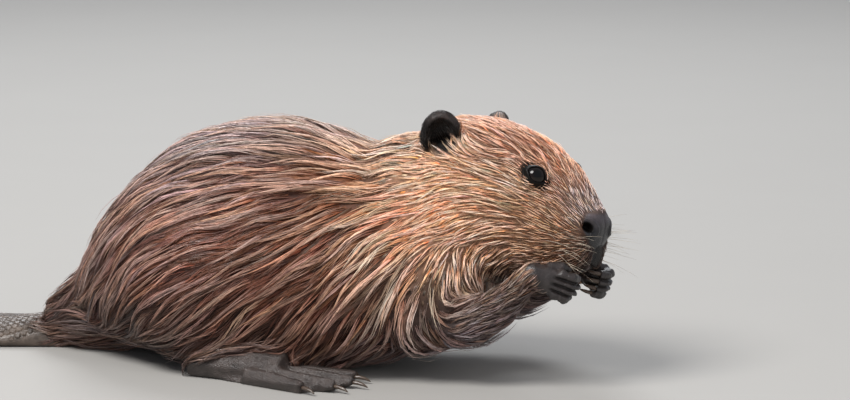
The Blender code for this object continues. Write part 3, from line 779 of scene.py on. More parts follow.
def paintHide(mesh):
    points = readPoints(mesh)
    top = smoothStep(-0.012, 0.004, toHead(points)[:, 2])
    wet, more = skinPlan["shadedUnderFur"]
    # the hide under the coat is painted dark, as the shade in the gaps between the locks
    colours = deepened(markingColours(points), skinPlan["underHue"]) * (wet + more * dryness(points))[:, None]
    # over the ears: the pale upper rims, and the backs painted pale as if lit from behind
    overlays = {"nose": (("noseTop", top),),
                "ear": (("earRim", earEdge(points)), ("backlitEar", earInner(mesh, points)))}
    for kind in ("nose", "ear", "forepaw", "hind_foot", "tail"):
        own = np.array(linear(skinPlan[kind]))[None]
        for name, share in overlays.get(kind, ()):
            own = blend(own, np.array(linear(skinPlan[name])), share[:, None])
        mask = noseDark if kind == "nose" else readMask(mesh, kind)
        colours = blend(colours, own, mask[:, None])
    # the ear's hollow is painted darkest, as the shade in its cup
    hollow = earHollow(points)
    # to the darkest colour: dark skin round the eyes and down the cleft; painted shade in the nostrils, along
    # the mouth's line, between the fingers and in the ear hollows
    dark, dull = skinPlan["darkening"], skinPlan["dulling"]
    dark = np.maximum.reduce([rimDark, nostrilShade, cleftDark * dark["cleft"], mouthDark,
                              fingerCleftShade * dark["paws"], hollow])
    writeColours(mesh, "coatColour", blend(colours, np.array(linear(skinPlan["darkSkinAndShade"])), dark[:, None]))
    bare = np.maximum.reduce([readField(mesh, "bare"), rimBare, cleftDark, mouthDark, noseDark, hollow])
    writeField(mesh, "bare", np.clip(bare, 0.0, 1.0))
    least, more = skinPlan["furGrain"]
    leather = least + more * np.clip(readField(mesh, "bare"), 0.0, 1.0)
    for kind, share in skinPlan["grain"].items():
        leather += (share - leather) * readMask(mesh, kind)
    writeField(mesh, "leather", leather * (1.0 - dull["grain"] * np.maximum(rimDark, hollow)))
    dulled = np.maximum.reduce([dull["ear"] * readMask(mesh, "ear"), hollow, dull["lids"] * rimDark,
                                nostrilShade, dull["mouth"] * mouthDark])
    writeField(mesh, "shine", skinPlan["shine"] * (1.0 - dull["all"] * np.clip(dulled, 0.0, 1.0)))


def wetHide(tree):
    # wet hide: dull underfur where the coat grows, painted dark as the shade between the locks, moist
    # leathery skin where it is bare. Its mottling is
    # 8 mm wide; the skin's grain is drawn at 1.6 and 1.1 mm, coarser than real, so that it shows
    place = addNode(tree, "ShaderNodeTexCoord").outputs["Object"]
    colour, bare, coarse, shine = (addNode(tree, "ShaderNodeAttribute", attribute_name=name).outputs
                                   for name in ("coatColour", "bare", "leather", "shine"))
    mottle = addNode(tree, "ShaderNodeTexNoise", {
        "Vector": place, "Scale": perMetre(8.333), "Detail": 6.0, "Roughness": 0.7})
    shade = addNode(tree, "ShaderNodeMapRange", {
        "Value": mottle, "From Min": 0.35, "From Max": 0.65, "To Min": 0.6, "To Max": 1.5})
    tinted = addNode(tree, "ShaderNodeVectorMath", {0: colour["Color"], 1: shade}, operation="MULTIPLY")
    gloss = addNode(tree, "ShaderNodeMapRange", {"Value": bare["Fac"], "To Min": 0.75, "To Max": 0.36})
    grain = addNode(tree, "ShaderNodeTexVoronoi", {"Vector": place, "Scale": perMetre(1.613)},
                    feature="DISTANCE_TO_EDGE")
    fine = addNode(tree, "ShaderNodeTexNoise", {"Vector": place, "Scale": perMetre(1.111), "Detail": 3.0})
    rough = addNode(tree, "ShaderNodeMath", {0: grain, 1: fine}, operation="ADD")
    height = addNode(tree, "ShaderNodeMath", {0: rough, 1: coarse["Fac"]}, operation="MULTIPLY")
    bump = addNode(tree, "ShaderNodeBump", {"Height": height, "Strength": 0.8, "Distance": 0.0009})
    return {"Base Color": tinted, "Roughness": gloss, "Specular IOR Level": shine["Fac"], "Normal": bump}


def furRoundEars(mesh):
    points = readPoints(mesh)
    near = smoothStep(*earPlan["furReach"], fromEar(points, "place"))
    near *= smoothStep(0.60, 0.45, np.maximum(readField(mesh, "on_ear"), earHollow(points)))
    for name, least in zip(("depth", "reach"), earPlan["furRound"]):
        writeField(mesh, name, np.maximum(readField(mesh, name), least * near))
    writeField(mesh, "bare", np.minimum(readField(mesh, "bare"), 1.0 - earPlan["furShare"] * near))


clearPlan = {
    "within": 0.045,          # metres from the middle of a bare place
    "ear": (0.0035, 0.6),     # how far hair may run in, and how straight it has to head there to be shortened
    "lids": (0.0008, 0.15),
}


def keepClear(mesh, kept, gap, narrow):
    # hair that runs towards a bare place stops short of it
    points = readPoints(mesh)
    reach = readField(mesh, "reach")
    bare = points[kept]
    near = np.linalg.norm(points - bare.mean(axis=0), axis=1) < clearPlan["within"]
    tree = KDTree(len(bare))
    for k, point in enumerate(bare.tolist()):
        tree.insert(point, k)
    tree.balance()
    found = [tree.find(point) for point in points[near].tolist()]
    towards = np.array([hit[0] for hit in found]) - points[near]
    away = np.array([hit[2] for hit in found])
    ways = lieOfCoat(points[near], readNormals(mesh)[near], 0.0)
    ahead = (unit(towards) * ways).sum(axis=1) > narrow
    reach[near] = np.where(ahead, np.minimum(reach[near], away * 0.9 + gap), reach[near])
    writeField(mesh, "reach", reach)


def dressHide():
    paintHide(hideMesh)
    furRoundEars(hideMesh)
    points = readPoints(hideMesh)
    for sign in sides.values():
        onSide = toHead(points)[:, 1] * sign > 0
        onEar = np.maximum(readField(hideMesh, "on_ear"), earHollow(points))
        keepClear(hideMesh, onSide & (onEar > 0.5), *clearPlan["ear"])
        keepClear(hideMesh, onSide & (rimBare > 0.5), *clearPlan["lids"])
    points[:, 2] = np.maximum(points[:, 2], 0.0002)      # clear of the floor
    movePoints(hideMesh, points)
    hideMesh.shade_smooth()
    hideMesh.materials.clear()
    hideMesh.materials.append(makeMaterial(wetHide))
    newPiece("beaver_hide", hideMesh, fleshNames)
    print("hide: painted and dressed")


dressHide()


class Ground:
    # the hide as the coat's ground: nearest place, its normal and the coat's plan there
    def __init__(self, mesh):
        mesh.calc_loop_triangles()
        flat = np.empty(len(mesh.loop_triangles) * 3, dtype=np.int64)
        mesh.loop_triangles.foreach_get("vertices", flat)
        self.corners = flat.reshape(-1, 3)
        self.points = readPoints(mesh)
        self.normals = readNormals(mesh)
        self.fields = np.stack([readField(mesh, name) for name in ("depth", "reach")], axis=1)
        self.tree = BVHTree.FromPolygons(self.points.tolist(), self.corners.tolist())

    def settle(self, points):
        found = [self.tree.find_nearest(point) for point in points.tolist()]
        places = np.array([hit[0] for hit in found])
        corners = self.corners[[hit[2] for hit in found]]
        away = np.linalg.norm(self.points[corners] - places[:, None], axis=2)
        share = 1.0 / (away + 1e-5)
        share /= share.sum(axis=1, keepdims=True)
        normals = unit((self.normals[corners] * share[:, :, None]).sum(axis=1))
        return places, normals, (self.fields[corners] * share[:, :, None]).sum(axis=1)


ground = Ground(hideMesh)


def rootsTree():
    # evenly spread points on a surface, thinned by the field "grows"
    tree, given = newNodeGroup("rootsOnHide", (("Spacing", "Float"), ("Seed", "Int")))
    here = addNode(tree, "GeometryNodeInputNamedAttribute", {"Name": "grows"}, data_type="FLOAT")
    spread = addNode(tree, "GeometryNodeDistributePointsOnFaces", {
        "Mesh": given["Geometry"], "Distance Min": given["Spacing"], "Density Max": 4.0e6,
        "Density Factor": here, "Seed": given["Seed"]}, distribute_method="POISSON")
    points = addNode(tree, "GeometryNodePointsToVertices", {"Points": spread})
    addNode(tree, "NodeGroupOutput", {"Geometry": points})
    return tree


rootsOnHide = rootsTree()


def scatter(grows, spacing, seed):
    mesh = hideMesh.copy()
    writeField(mesh, "grows", grows)
    roots = throughNodes(mesh, rootsOnHide, {"Spacing": spacing, "Seed": seed})
    points = readPoints(roots)
    for used in (roots, mesh):
        bpy.data.meshes.remove(used)
    return points


def layPaths(roots, lengths, steps, wander):
    # lines over the hide that follow the lie of the coat
    places, normals, _ = ground.settle(roots)
    line, ups = [places], [normals]
    for step in range(steps):
        ways = lieOfCoat(line[-1], ups[-1], wander)
        places, normals, _ = ground.settle(line[-1] + ways * (lengths / steps)[:, None])
        line.append(places)
        ups.append(unit(normals + ups[-1]))
    return np.stack(line, axis=1), np.stack(ups, axis=1)


def alongPaths(values, which, where):
    # reads rows of values, one for each step of a path, at a place between the steps
    where = np.clip(where, 0.0, values.shape[1] - 1 - 1e-6)
    low = where.astype(int)
    rows = which[:, None]
    return blend(values[rows, low], values[rows, low + 1], (where - low)[..., None])


# how far locks and their hairs differ: from and to, or for proud and for dull locks
lockSpread = {
    "fullLength": 0.045,      # metres; shorter locks are narrower too
    "length": (0.8, 1.2), "longerProud": 1.2, "hairLength": (0.72, 1.08), "hairRadius": (0.75, 1.25),
    "footprint": (0.2, 1.0), "width": (0.3, 1.1), "widthKinds": (0.8, 1.2),
    "clumpKinds": (1.08, 0.88), "clump": (0.9, 1.03), "strayClump": 0.1,
    "proudLift": (0.75, 1.0), "dullLift": 0.55, "hairLift": 0.18, "strayLift": (0.1, 0.6),
    "lean": 0.012,            # metres, the furthest a lock leans to its ridge
}


def leanTogether(line, sideways, plan):
    # neighbouring locks lean into ridges with dark gaps between
    count, middle = len(line), plan["steps"] // 2
    ridges = KDTree(count)
    for k in rng.permutation(count)[: max(1, count // plan["locksInRidge"])]:
        ridges.insert(line[k, middle], int(k))
    ridges.balance()
    ridge = np.array([ridges.find(point)[1] for point in line[:, middle].tolist()])
    lateral = ((line[:, middle] - line[ridge, middle]) * sideways[:, middle]).sum(axis=1)
    lateral = np.clip(lateral, -lockSpread["lean"], lockSpread["lean"]) * plan["lean"]
    shares = np.linspace(0.0, 1.0, plan["steps"] + 1)
    return line - sideways * (lateral[:, None] * shares ** 1.3)[:, :, None]


def growLocks(plan, roots):
    # every lock is a few hairs that start apart and run together to a point
    spread = lockSpread
    roots, _, fields = ground.settle(roots)
    count, steps = len(roots), plan["steps"]
    proud = rng.random(count) < plan["proud"]
    reach = fields[:, 1] * plan["length"] * rng.uniform(*spread["length"], count)
    reach = np.clip(reach * np.where(proud, spread["longerProud"], 1.0), plan["shortest"], None)
    footprint = plan["footprint"] * np.clip(reach / spread["fullLength"], *spread["footprint"])
    total = reach + footprint
    line, ups = layPaths(roots, total, steps, plan["wander"])
    sideways = unit(np.cross(ups, unit(np.gradient(line, axis=1))))
    line = leanTogether(line, sideways, plan)

    # where along its lock each hair runs, and how closely it keeps to it
    which = np.repeat(np.arange(count), plan["hairs"])
    number = len(which)
    start, apart = rng.uniform(0.0, 1.0, number), rng.uniform(-1.0, 1.0, number)
    length = reach[which] * rng.uniform(*spread["hairLength"], number)
    stray = rng.random(number) < plan["strays"]
    clump = plan["clump"] * np.where(proud, *spread["clumpKinds"])[which]
    clump = np.where(stray, spread["strayClump"], clump * rng.uniform(*spread["clump"], number))
    s = np.linspace(0.0, 1.0, plan["rings"] + 1)
    where = ((start * footprint[which])[:, None] + s * length[:, None]) / total[which][:, None] * steps
    middle = alongPaths(line, which, where)
    up, side = (unit(alongPaths(ways, which, where)) for ways in (ups, sideways))

    # sideways: the lock's width, its bend and curl, and the strays
    halfWidth = plan["lockWidth"] / 2.0 * np.clip(reach[which] / spread["fullLength"], *spread["width"])
    halfWidth = halfWidth * np.where(proud, *spread["widthKinds"])[which]
    gather = 1.0 - clump[:, None] * smoothStep(0.0, 0.75, s)[None]
    bend = rng.normal(0.0, plan["bend"], count)[which][:, None] * np.sin(math.pi * s * 1.3)[None]
    phase = rng.uniform(0.0, math.tau, count)[which][:, None]
    bend = bend + plan["curl"] * np.sin(phase + s[None] * 5.0) * s[None]
    wild = np.where(stray, rng.normal(0.0, plan["bend"] * 2.0, number), 0.0)[:, None] * s[None] ** 1.5

    # upwards: proud locks stand on the others
    low, high = plan["lift"]
    lift = np.where(proud, rng.uniform(*spread["proudLift"], count) * high,
                    rng.uniform(low, max(low, spread["dullLift"] * high), count))[which][:, None]
    uneven = rng.uniform(-spread["hairLift"], spread["hairLift"], number)
    lift = lift * (1.0 + uneven[:, None] * gather)
    lift = lift + np.where(stray, rng.uniform(*spread["strayLift"], number), 0.0)[:, None] * s[None]
    rise = 1.0 - (1.0 - s[None]) ** 2.4
    height = (fields[which, 0][:, None] + plan["loft"]) * lift * rise * (1.0 - plan["droop"] * s[None] ** 3)
    height = height - plan["sink"] * (1.0 - s[None])
    spine = middle + side * ((apart * halfWidth)[:, None] * gather + bend + wild)[:, :, None]
    spine = spine + up * height[:, :, None]
    spine[:, :, 2] = np.maximum(spine[:, :, 2], 0.0006)      # clear of the floor
    radius = plan["hairRadius"] * rng.uniform(*spread["hairRadius"], number)
    return {"spine": spine, "up": up, "radius": radius, "roots": roots[which], "lock": which,
            "proud": proud[which]}


def hairFaces(rings):
    # the triangles of one three-sided hair, its tip the last point
    faces = [(0, 1, 2)]
    for ring in range(rings - 1):
        for k in range(3):
            a, b = ring * 3 + k, ring * 3 + (k + 1) % 3
            faces += [(a, b + 3, b), (a, a + 3, b + 3)]
    last = (rings - 1) * 3
    return faces + [(last + k, rings * 3, last + (k + 1) % 3) for k in range(3)]


def skinHairs(hairs, plan):
    # tapering hairs round their spines: points, triangles, and how far along each point is
    spine, up = hairs["spine"], hairs["up"]
    number, rings = len(spine), plan["rings"]
    ways = unit(np.gradient(spine, axis=1))
    across = unit(np.cross(ways, up))
    up = unit(np.cross(across, ways))
    spin = rng.uniform(-0.5, 0.5, number)[:, None]
    width = (hairs["radius"][:, None] * plan["taper"])[:, :, None]
    corners = []
    for k in range(3):
        angle = math.tau * k / 3.0 + spin
        out = up * (np.cos(angle) * plan["flat"])[:, :, None] - across * np.sin(angle)[:, :, None]
        corners.append(spine[:, :rings] + out[:, :rings] * width)
    body = np.stack(corners, axis=2).reshape(number, rings * 3, 3)
    points = np.concatenate([body, spine[:, rings:]], axis=1)
    starts = np.arange(number) * (rings * 3 + 1)
    faces = np.array(hairFaces(rings))[None] + starts[:, None, None]
    share = np.concatenate([np.repeat(np.arange(rings) / rings, 3), [1.0]])
    return points.reshape(-1, 3), faces.reshape(-1, 3), np.tile(share, number)


def patchLayout(rings):
    # where each corner of a hair's faces lies on its own small patch, 0 to 1 both ways
    layout = []
    for triangle in hairFaces(rings):
        columns = [v % 3 for v in triangle if v < rings * 3]
        wraps = 0 in columns and 2 in columns
        for v in triangle:
            tip = v >= rings * 3
            column = 1.5 if tip else v % 3
            if wraps and not tip and column == 0:
                column = 3
            layout.append((column / 3.0, 1.0 if tip else (v // 3) / rings))
    return np.array(layout)


def meshOf(name, points, faces):
    mesh = bpy.data.meshes.new(name)
    mesh.vertices.add(len(points))
    mesh.vertices.foreach_set("co", points.ravel())
    mesh.loops.add(len(faces) * 3)
    mesh.loops.foreach_set("vertex_index", faces.ravel())
    mesh.polygons.add(len(faces))
    mesh.polygons.foreach_set("loop_start", np.arange(len(faces)) * 3)
    mesh.update(calc_edges=True)
    mesh.shade_smooth()
    return mesh


def wetGuardHair(tree):
    # wet guard hair: dark at the root, as painted shade deep in the coat and a deeper hue, smooth and shiny
    # along its length, with soft bands 4 mm wide
    colour, root = (addNode(tree, "ShaderNodeAttribute", attribute_name=name)
                    for name in ("coatColour", "shadedRootColour"))
    along = addNode(tree, "ShaderNodeAttribute", attribute_name="along").outputs["Fac"]
    place = addNode(tree, "ShaderNodeTexCoord").outputs["Object"]
    ramp = addNode(tree, "ShaderNodeMapRange", {"Value": along, "From Max": 0.55},
                   interpolation_type="SMOOTHSTEP")
    mixed = addNode(tree, "ShaderNodeMix", {0: ramp, 6: root, 7: colour}, data_type="RGBA").outputs[2]
    bands = addNode(tree, "ShaderNodeTexNoise", {"Vector": place, "Scale": perMetre(3.846), "Detail": 2.0})
    shade = addNode(tree, "ShaderNodeMapRange", {
        "Value": bands, "From Min": 0.3, "From Max": 0.7, "To Min": 0.8, "To Max": 1.2})
    tinted = addNode(tree, "ShaderNodeVectorMath", {0: mixed, 1: shade}, operation="MULTIPLY")
    return {"Base Color": tinted, "Roughness": 0.38, "Specular IOR Level": 0.6}


guardHair = makeMaterial(wetGuardHair)

# lengths in metres; shares and counts otherwise
bodyLocks = {
    "spacing": 0.0060, "length": 1.1, "shortest": 0.012, "footprint": 0.014, "lockWidth": 0.0066,
    "steps": 8, "rings": 4, "hairs": 9, "hairRadius": 0.00038, "flat": 0.75,
    "taper": np.array((0.85, 1.0, 0.9, 0.6)),
    "locksInRidge": 7, "lean": 0.7, "clump": 0.86, "strays": 0.07, "proud": 0.36,
    "wander": 0.16, "bend": 0.0014, "curl": 0.0007,
    "lift": (0.28, 1.12), "loft": 0.0, "droop": 0.25, "sink": 0.0008,
    "bright": (0.50, 1.42), "hue": (0.80, 1.25),     # brightness of dull and proud locks: the low ones painted darker as shade, the proud ones paler as lit; hue of proud and dull ones, greyer as lit, deeper as in shade
}
headLocks = dict(bodyLocks, shortest=0.006, footprint=0.007, steps=6, wander=0.15, hairs=6, strays=0.08,
                 rings=3, lockWidth=0.0036, bend=0.0008, curl=0.0003, hairRadius=0.00028, sink=0.0004,
                 spacing=0.0030, taper=np.array((0.9, 1.0, 0.65)), lean=0.5, lift=(0.3, 1.3),
                 clump=0.90, bright=(0.58, 1.60), hue=(0.80, 1.18))
faceLocks = dict(headLocks, shortest=0.0035, footprint=0.003, steps=4, hairs=4, lockWidth=0.0018,
                 bend=0.0002, curl=0.0001, hairRadius=0.00020, sink=0.0003, spacing=0.0016, lean=0.3,
                 lift=(0.4, 1.3), bright=(0.48, 1.85))
# the underfur, its hairs painted dark as the shade low in the coat
underLocks = dict(bodyLocks, length=0.28, shortest=0.005, footprint=0.003, steps=3, hairs=3, rings=2,
                  lockWidth=0.0060, hairRadius=0.00050, spacing=0.0056, taper=np.array((0.8, 1.0)),
                  lift=(0.10, 0.22), proud=0.0, bright=(0.32, 0.32), clump=0.1, strays=0.0, loft=0.0008,
                  lean=0.03, bend=0.0002, curl=0.0001)
headUnderLocks = dict(underLocks, length=0.35, hairs=2, lockWidth=0.0090, hairRadius=0.00034,
                      spacing=0.0029, shortest=0.004)
earLocks = dict(faceLocks, shortest=0.0040, hairs=2, spacing=0.0013, hairRadius=0.00013, loft=0.0008,
                lift=(0.5, 1.2), wander=0.15, lean=0.1, lockWidth=0.0030)
limbLocks = dict(headLocks, spacing=0.0023, hairs=6, shortest=0.008, lift=(0.25, 1.0), bright=(0.62, 1.4))
tuftLocks = dict(headLocks, length=1.15, shortest=0.015, lift=(1.4, 3.0), proud=0.7, hairs=5, spacing=0.0013)
coatTone = {
    "lockSpread": 0.14, "hairSpread": 0.16,      # how far locks, and hairs in a lock, differ in brightness
    "hueSpread": 0.08,                           # and locks in hue
    "waves": 0.13,                               # slow changes over the body
    "dry": 1.25,                                 # how bright a dull lock is where the coat is dry
    "rootHue": 1.7, "rootShade": (0.42, 0.40),  # the roots' deeper hue, and their brightness as painted shade deep in the coat: where wet, and how much more where dry
    "brightest": 0.86,                           # the palest a hair may be, linear
    "patch": 0.003,                              # the side of a hair's place on the unwrap
}


def unwrapPlaces(roots, inHead):
    # round and along the body, or the head, each spread to fill the square
    local, middle = (toHead(roots), -0.02) if inHead else (roots, 0.075)
    places = np.stack([local[:, 0], np.arctan2(np.abs(local[:, 1]), local[:, 2] - middle)], axis=1)
    low, high = places.min(axis=0), places.max(axis=0)
    return 0.005 + (places - low) / np.maximum(high - low, 1e-9) * 0.985


def coatColours(hairs, plan, locks, inHead, colour):
    # the colour along each hair, and at its root, darkened there as painted shade
    roots, number = hairs["roots"], len(hairs["radius"])
    colours = np.tile(np.array(linear(colour)), (number, 1)) if colour else markingColours(roots)
    tone = rng.lognormal(0.0, coatTone["lockSpread"], locks)[hairs["lock"]]
    tone = tone * rng.lognormal(0.0, coatTone["hairSpread"], number)
    dry = dryness(roots)
    # locks lying under the others are painted darker, as their shade, and proud ones paler, as lit; where the
    # coat is dry the low ones are as pale as the tips
    dull, bright = plan["bright"]
    tone = tone * np.where(hairs["proud"], bright, dull + (coatTone["dry"] - dull) * 0.85 * dry)
    tone = tone * (1.0 + coatTone["waves"] * ripple(roots * 3.0))
    if inHead:
        tone = tone * follicleShade(roots)
    colours = colours * tone[:, None]
    warm, straw = rng.normal(0.0, coatTone["hueSpread"], (2, locks))[:, hairs["lock"]]
    colours = colours * np.stack([1.0 + warm, 1.0 - 0.2 * warm, 1.0 - warm - straw], axis=1)
    # the roots painted darker, as the shade deep in the coat, and deeper in hue
    wet, more = coatTone["rootShade"]
    shadedRoot = deepened(colours, coatTone["rootHue"]) * (wet + more * dry)[:, None]
    # proud locks painted greyer, as lit hair looks, and dull ones deeper in hue, as in shade
    colours = deepened(colours, np.where(hairs["proud"], *plan["hue"]))
    colours = colours * np.minimum(1.0, coatTone["brightest"] / colours.max(axis=1))[:, None]
    return colours, shadedRoot


def coatPiece(name, plan, roots, inHead, colour):
    hairs = growLocks(plan, roots)
    points, faces, along = skinHairs(hairs, plan)
    mesh = meshOf(name, points, faces)
    number, size = len(hairs["radius"]), plan["rings"] * 3 + 1
    painted = coatColours(hairs, plan, len(roots), inHead, colour)
    for field, colours in zip(("coatColour", "shadedRootColour"), painted):
        writeColours(mesh, field, np.repeat(np.maximum(colours, 0.002), size, axis=0))
    writeField(mesh, "along", along)
    patch = patchLayout(plan["rings"])
    places = np.repeat(unwrapPlaces(hairs["roots"], inHead), len(patch), axis=0)
    corners = places + np.tile(patch, (number, 1)) * coatTone["patch"]
    layer = mesh.uv_layers.new(name="OFBake")
    layer.uv.foreach_set("vector", corners.astype(np.float32).ravel())
    mesh.materials.append(guardHair)
    newPiece(name, mesh)
    print("coat:", name, len(roots), "locks,", len(faces), "triangles")


whiskerPlan = {
    "rows": 5, "columns": 5, "seed": 5,
    "low": (-0.035, 0.030, -0.037), "high": (-0.010, 0.030, -0.019),   # the whisker pad, head frame
    "length": (0.022, 0.042), "radius": 0.00020, "sides": 6, "steps": 9,
    "way": (0.95, 0.42, 0.46),               # forward, out and up, head frame
    "turnAside": (0.35, 0.40, 0.40),         # less forward and more outward at the back, lower at the bottom
    "scatter": 0.07, "lengthShares": (0.45, 0.55),      # by how far back it stands, and by chance
    "droop": (0.002, 0.006), "thinning": 0.85, "rooted": 0.001,
    "colours": ("#5c5044", "#cfc3b0"), "furthest": 0.357,
    "follicle": 0.0016,       # the short fur is dark this far round each root
}


def findWhiskerRoots(side):
    dice = np.random.default_rng(whiskerPlan["seed"] + (side == "R"))
    low, high = np.array(whiskerPlan["low"]), np.array(whiskerPlan["high"])
    rows, columns = whiskerPlan["rows"], whiskerPlan["columns"]
    shares = np.array([((column + dice.uniform(-0.2, 0.2)) / (columns - 1), 0.5,
                        (row + dice.uniform(-0.2, 0.2)) / (rows - 1))
                       for row in range(rows) for column in range(columns)])
    places = fromHead((low + (high - low) * shares) * (1, sides[side], 1))
    return shares, ground.settle(places)[0]


whiskerRoots = {side: findWhiskerRoots(side) for side in sides}


def follicleShade(points):
    roots = np.concatenate([places for _, places in whiskerRoots.values()])
    away = np.linalg.norm(points[:, None] - roots[None], axis=2).min(axis=1)
    return 1.0 - 0.75 * hump(away, whiskerPlan["follicle"])


coatPlaces = {
    "slices": {"rump": (-1.0, 0.0), "flank": (0.0, 0.075), "trunk": (0.075, 0.140), "chest": (0.140, 1.0)},
    "headFrom": 0.13, "armFrom": 0.18,      # the head's and the arm's coat begin here
    "bodyDepth": (0.0040, 0.0052), "faceDepth": (0.0024, 0.0018),     # told apart by the depth of the coat
    "leastDepth": 0.0006, "bare": 0.45,     # no coat on shallower or barer hide
    "legShare": 0.42,                       # how dense the coat is on the legs
    "hidden": (0.030, 0.012, 0.7),          # thinner near the floor, between these heights, by this much
}
tuftColour, earHair = "#b98060", "#1d1917"


def whereItGrows(sign):
    # which points of the hide each kind of coat grows on, and the tuft before the ear of one side
    points = readPoints(hideMesh)
    depth = readField(hideMesh, "depth")
    furred = (readField(hideMesh, "bare") < coatPlaces["bare"]).astype(float)
    deep = depth > coatPlaces["leastDepth"]
    body = smoothStep(*coatPlaces["bodyDepth"], depth)
    face = smoothStep(*coatPlaces["faceDepth"], depth) * deep
    head = (1.0 - body) * (1.0 - face) * deep
    high, low, less = coatPlaces["hidden"]
    onHead = (points[:, 0] > coatPlaces["headFrom"]) * (readField(hideMesh, "on_forearm") < 0.3)
    onArm = (points[:, 0] > coatPlaces["armFrom"]).astype(float)
    ears = (readField(hideMesh, "on_ear") > 0.6).astype(float)
    place = ground.tree.find_nearest(Vector(fromHead(np.array(earPlan["tuft"]) * (1, sign, 1))))[0]
    tuft = np.linalg.norm(points - np.array(place), axis=1) < earPlan["tuftReach"]
    legShare = coatPlaces["legShare"]
    return {
        "body": body * furred * (1.0 - less * smoothStep(high, low, points[:, 2])),
        "head": head * furred * onHead, "face": face * furred * onHead,
        "limbs": np.maximum(head, face) * furred * (1.0 - onHead) * (legShare + (1.0 - legShare) * onArm),
        "ears": ears, "tuft": tuft * (1.0 - ears) * (depth > 0.001),
    }


def growCoat():
    whole = (-1.0, 1.0)
    # where it grows and between what places along the body, its locks, slot, whether it is laid out by the
    # head's frame, the seeds of the left and right side, and its own colour
    parts = [("coat_" + name, "body", reach, bodyLocks, "body_coat", False, (k, k + 5), None)
             for k, (name, reach) in enumerate(coatPlaces["slices"].items())]
    parts += [
        ("coat_head", "head", whole, headLocks, "head_coat", True, (20, 21), None),
        ("coat_limbs", "limbs", whole, limbLocks, "body_coat", False, (24, 25), None),
        ("underfur_body", "body", whole, underLocks, "body_coat", False, (40, 42), None),
        ("underfur_head", "head", whole, headUnderLocks, "head_coat", True, (41, 43), None),
        ("coat_ear", "ears", whole, earLocks, "ear_skin", True, (50, 51), earHair),
        ("coat_ear_tuft", "tuft", whole, tuftLocks, "head_coat", True, (60, 61), tuftColour),
        ("coat_face", "face", whole, faceLocks, "head_coat", True, (30, 31), None),
    ]
    for k, (side, sign) in enumerate(sides.items()):
        grows = whereItGrows(sign)
        for name, mask, (back, front), plan, slot, inHead, seeds, colour in parts:
            roots = scatter(grows[mask], plan["spacing"], seeds[k])
            mine = (toHead(roots) if inHead else roots)[:, 1] * sign > 0
            mine &= (roots[:, 0] >= back) & (roots[:, 0] < front)
            coatPiece(f"{name}_{side}", plan, roots[mine], inHead, colour)


growCoat()


def wetEye(tree):
    # a wet eyeball: black-brown iris under a clear, very smooth cornea
    angle = addNode(tree, "ShaderNodeAttribute", attribute_name="fromPupil").outputs["Fac"]
    ramp = addNode(tree, "ShaderNodeValToRGB", {"Fac": angle})
    setStops(ramp, ((0.0, "#020202"), (0.30, "#020202"), (0.36, "#0b0604"), (0.60, "#120a07"),
                    (0.70, "#060404")))
    return {"Base Color": ramp, "Roughness": 0.04, "IOR": 1.40}


def makeEye(side, material):
    centre, outward, _, _ = eyes[side]
    swell, width = eyePlan["cornea"]
    work = bmesh.new()
    bmesh.ops.create_uvsphere(work, u_segments=48, v_segments=32, radius=1.0)
    angles = [math.acos(max(-1.0, min(1.0, vertex.co.z))) for vertex in work.verts]
    turn = Vector((0, 0, 1)).rotation_difference(Vector(outward)).to_matrix()
    for vertex, angle in zip(work.verts, angles):
        bulge = 1.0 + swell * math.exp(-(angle / width) ** 4)
        vertex.co = Vector(centre) + turn @ vertex.co * (eyePlan["radius"] - 0.0001) * bulge
    mesh = meshFrom(work, "eyeball_" + side)
    writeField(mesh, "fromPupil", angles)
    mesh.shade_smooth()
    mesh.materials.append(material)
    newPiece("eyeball_" + side, mesh, ["eye_" + side])


def clawHorn(tree):
    # claw horn: dark, smooth, faintly streaked, a streak being 1.4 mm wide
    place = addNode(tree, "ShaderNodeTexCoord").outputs["Object"]
    streak = addNode(tree, "ShaderNodeTexNoise", {"Vector": place, "Scale": perMetre(1.429), "Detail": 3.0})
    ramp = addNode(tree, "ShaderNodeValToRGB", {"Fac": streak})
    setStops(ramp, ((0.0, "#1d1815"), (1.0, "#5a4a3e")))
    return {"Base Color": ramp, "Roughness": 0.3}


def makeClaws(limb, side, material):
    names = [n for n in sorted(nodes) if n.startswith(f"{limb}_claw_{side}")]
    mesh = withModifier(mergedCopy(names, 0.0004), "SUBSURF", levels=2, render_levels=2)
    mesh.shade_smooth()
    mesh.materials.clear()
    mesh.materials.append(material)
    newPiece(f"{limb}_claws_{side}", mesh, names)


eyeSurface, hornSurface = makeMaterial(wetEye), makeMaterial(clawHorn)
for side in sides:
    makeEye(side, eyeSurface)
for limb in ("finger", "toe"):
    for side in sides:
        makeClaws(limb, side, hornSurface)
print("eyes and claws done")


def whiskerSpine(root, across, sign, dice):
    # forward, out and a little down from the lip pad; the hindmost ones lean out more
    back = 1.0 - across[0]
    forward, out, up = whiskerPlan["way"]
    less, more, lower = whiskerPlan["turnAside"]
    way = np.array((forward - less * back, sign * (out + more * back), up - lower * (1.0 - across[2])))
    way = unit(headTurn @ unit(way) + dice.normal(0.0, whiskerPlan["scatter"], 3))
    shortest, longest = whiskerPlan["length"]
    byPlace, byChance = whiskerPlan["lengthShares"]
    length = shortest + (longest - shortest) * (byPlace * back + byChance * dice.random())
    droop = dice.uniform(*whiskerPlan["droop"])
    share = np.linspace(0.0, 1.0, whiskerPlan["steps"])[:, None]
    spine = root + way * length * share - np.array((0.0, 0.0, droop)) * share ** 2
    spine = spine - way * whiskerPlan["rooted"]
    over = max(0.0, spine[-1, 0] - whiskerPlan["furthest"])
    return spine - np.array((over, 0.0, 0.0)) * share, way, share[:, 0]


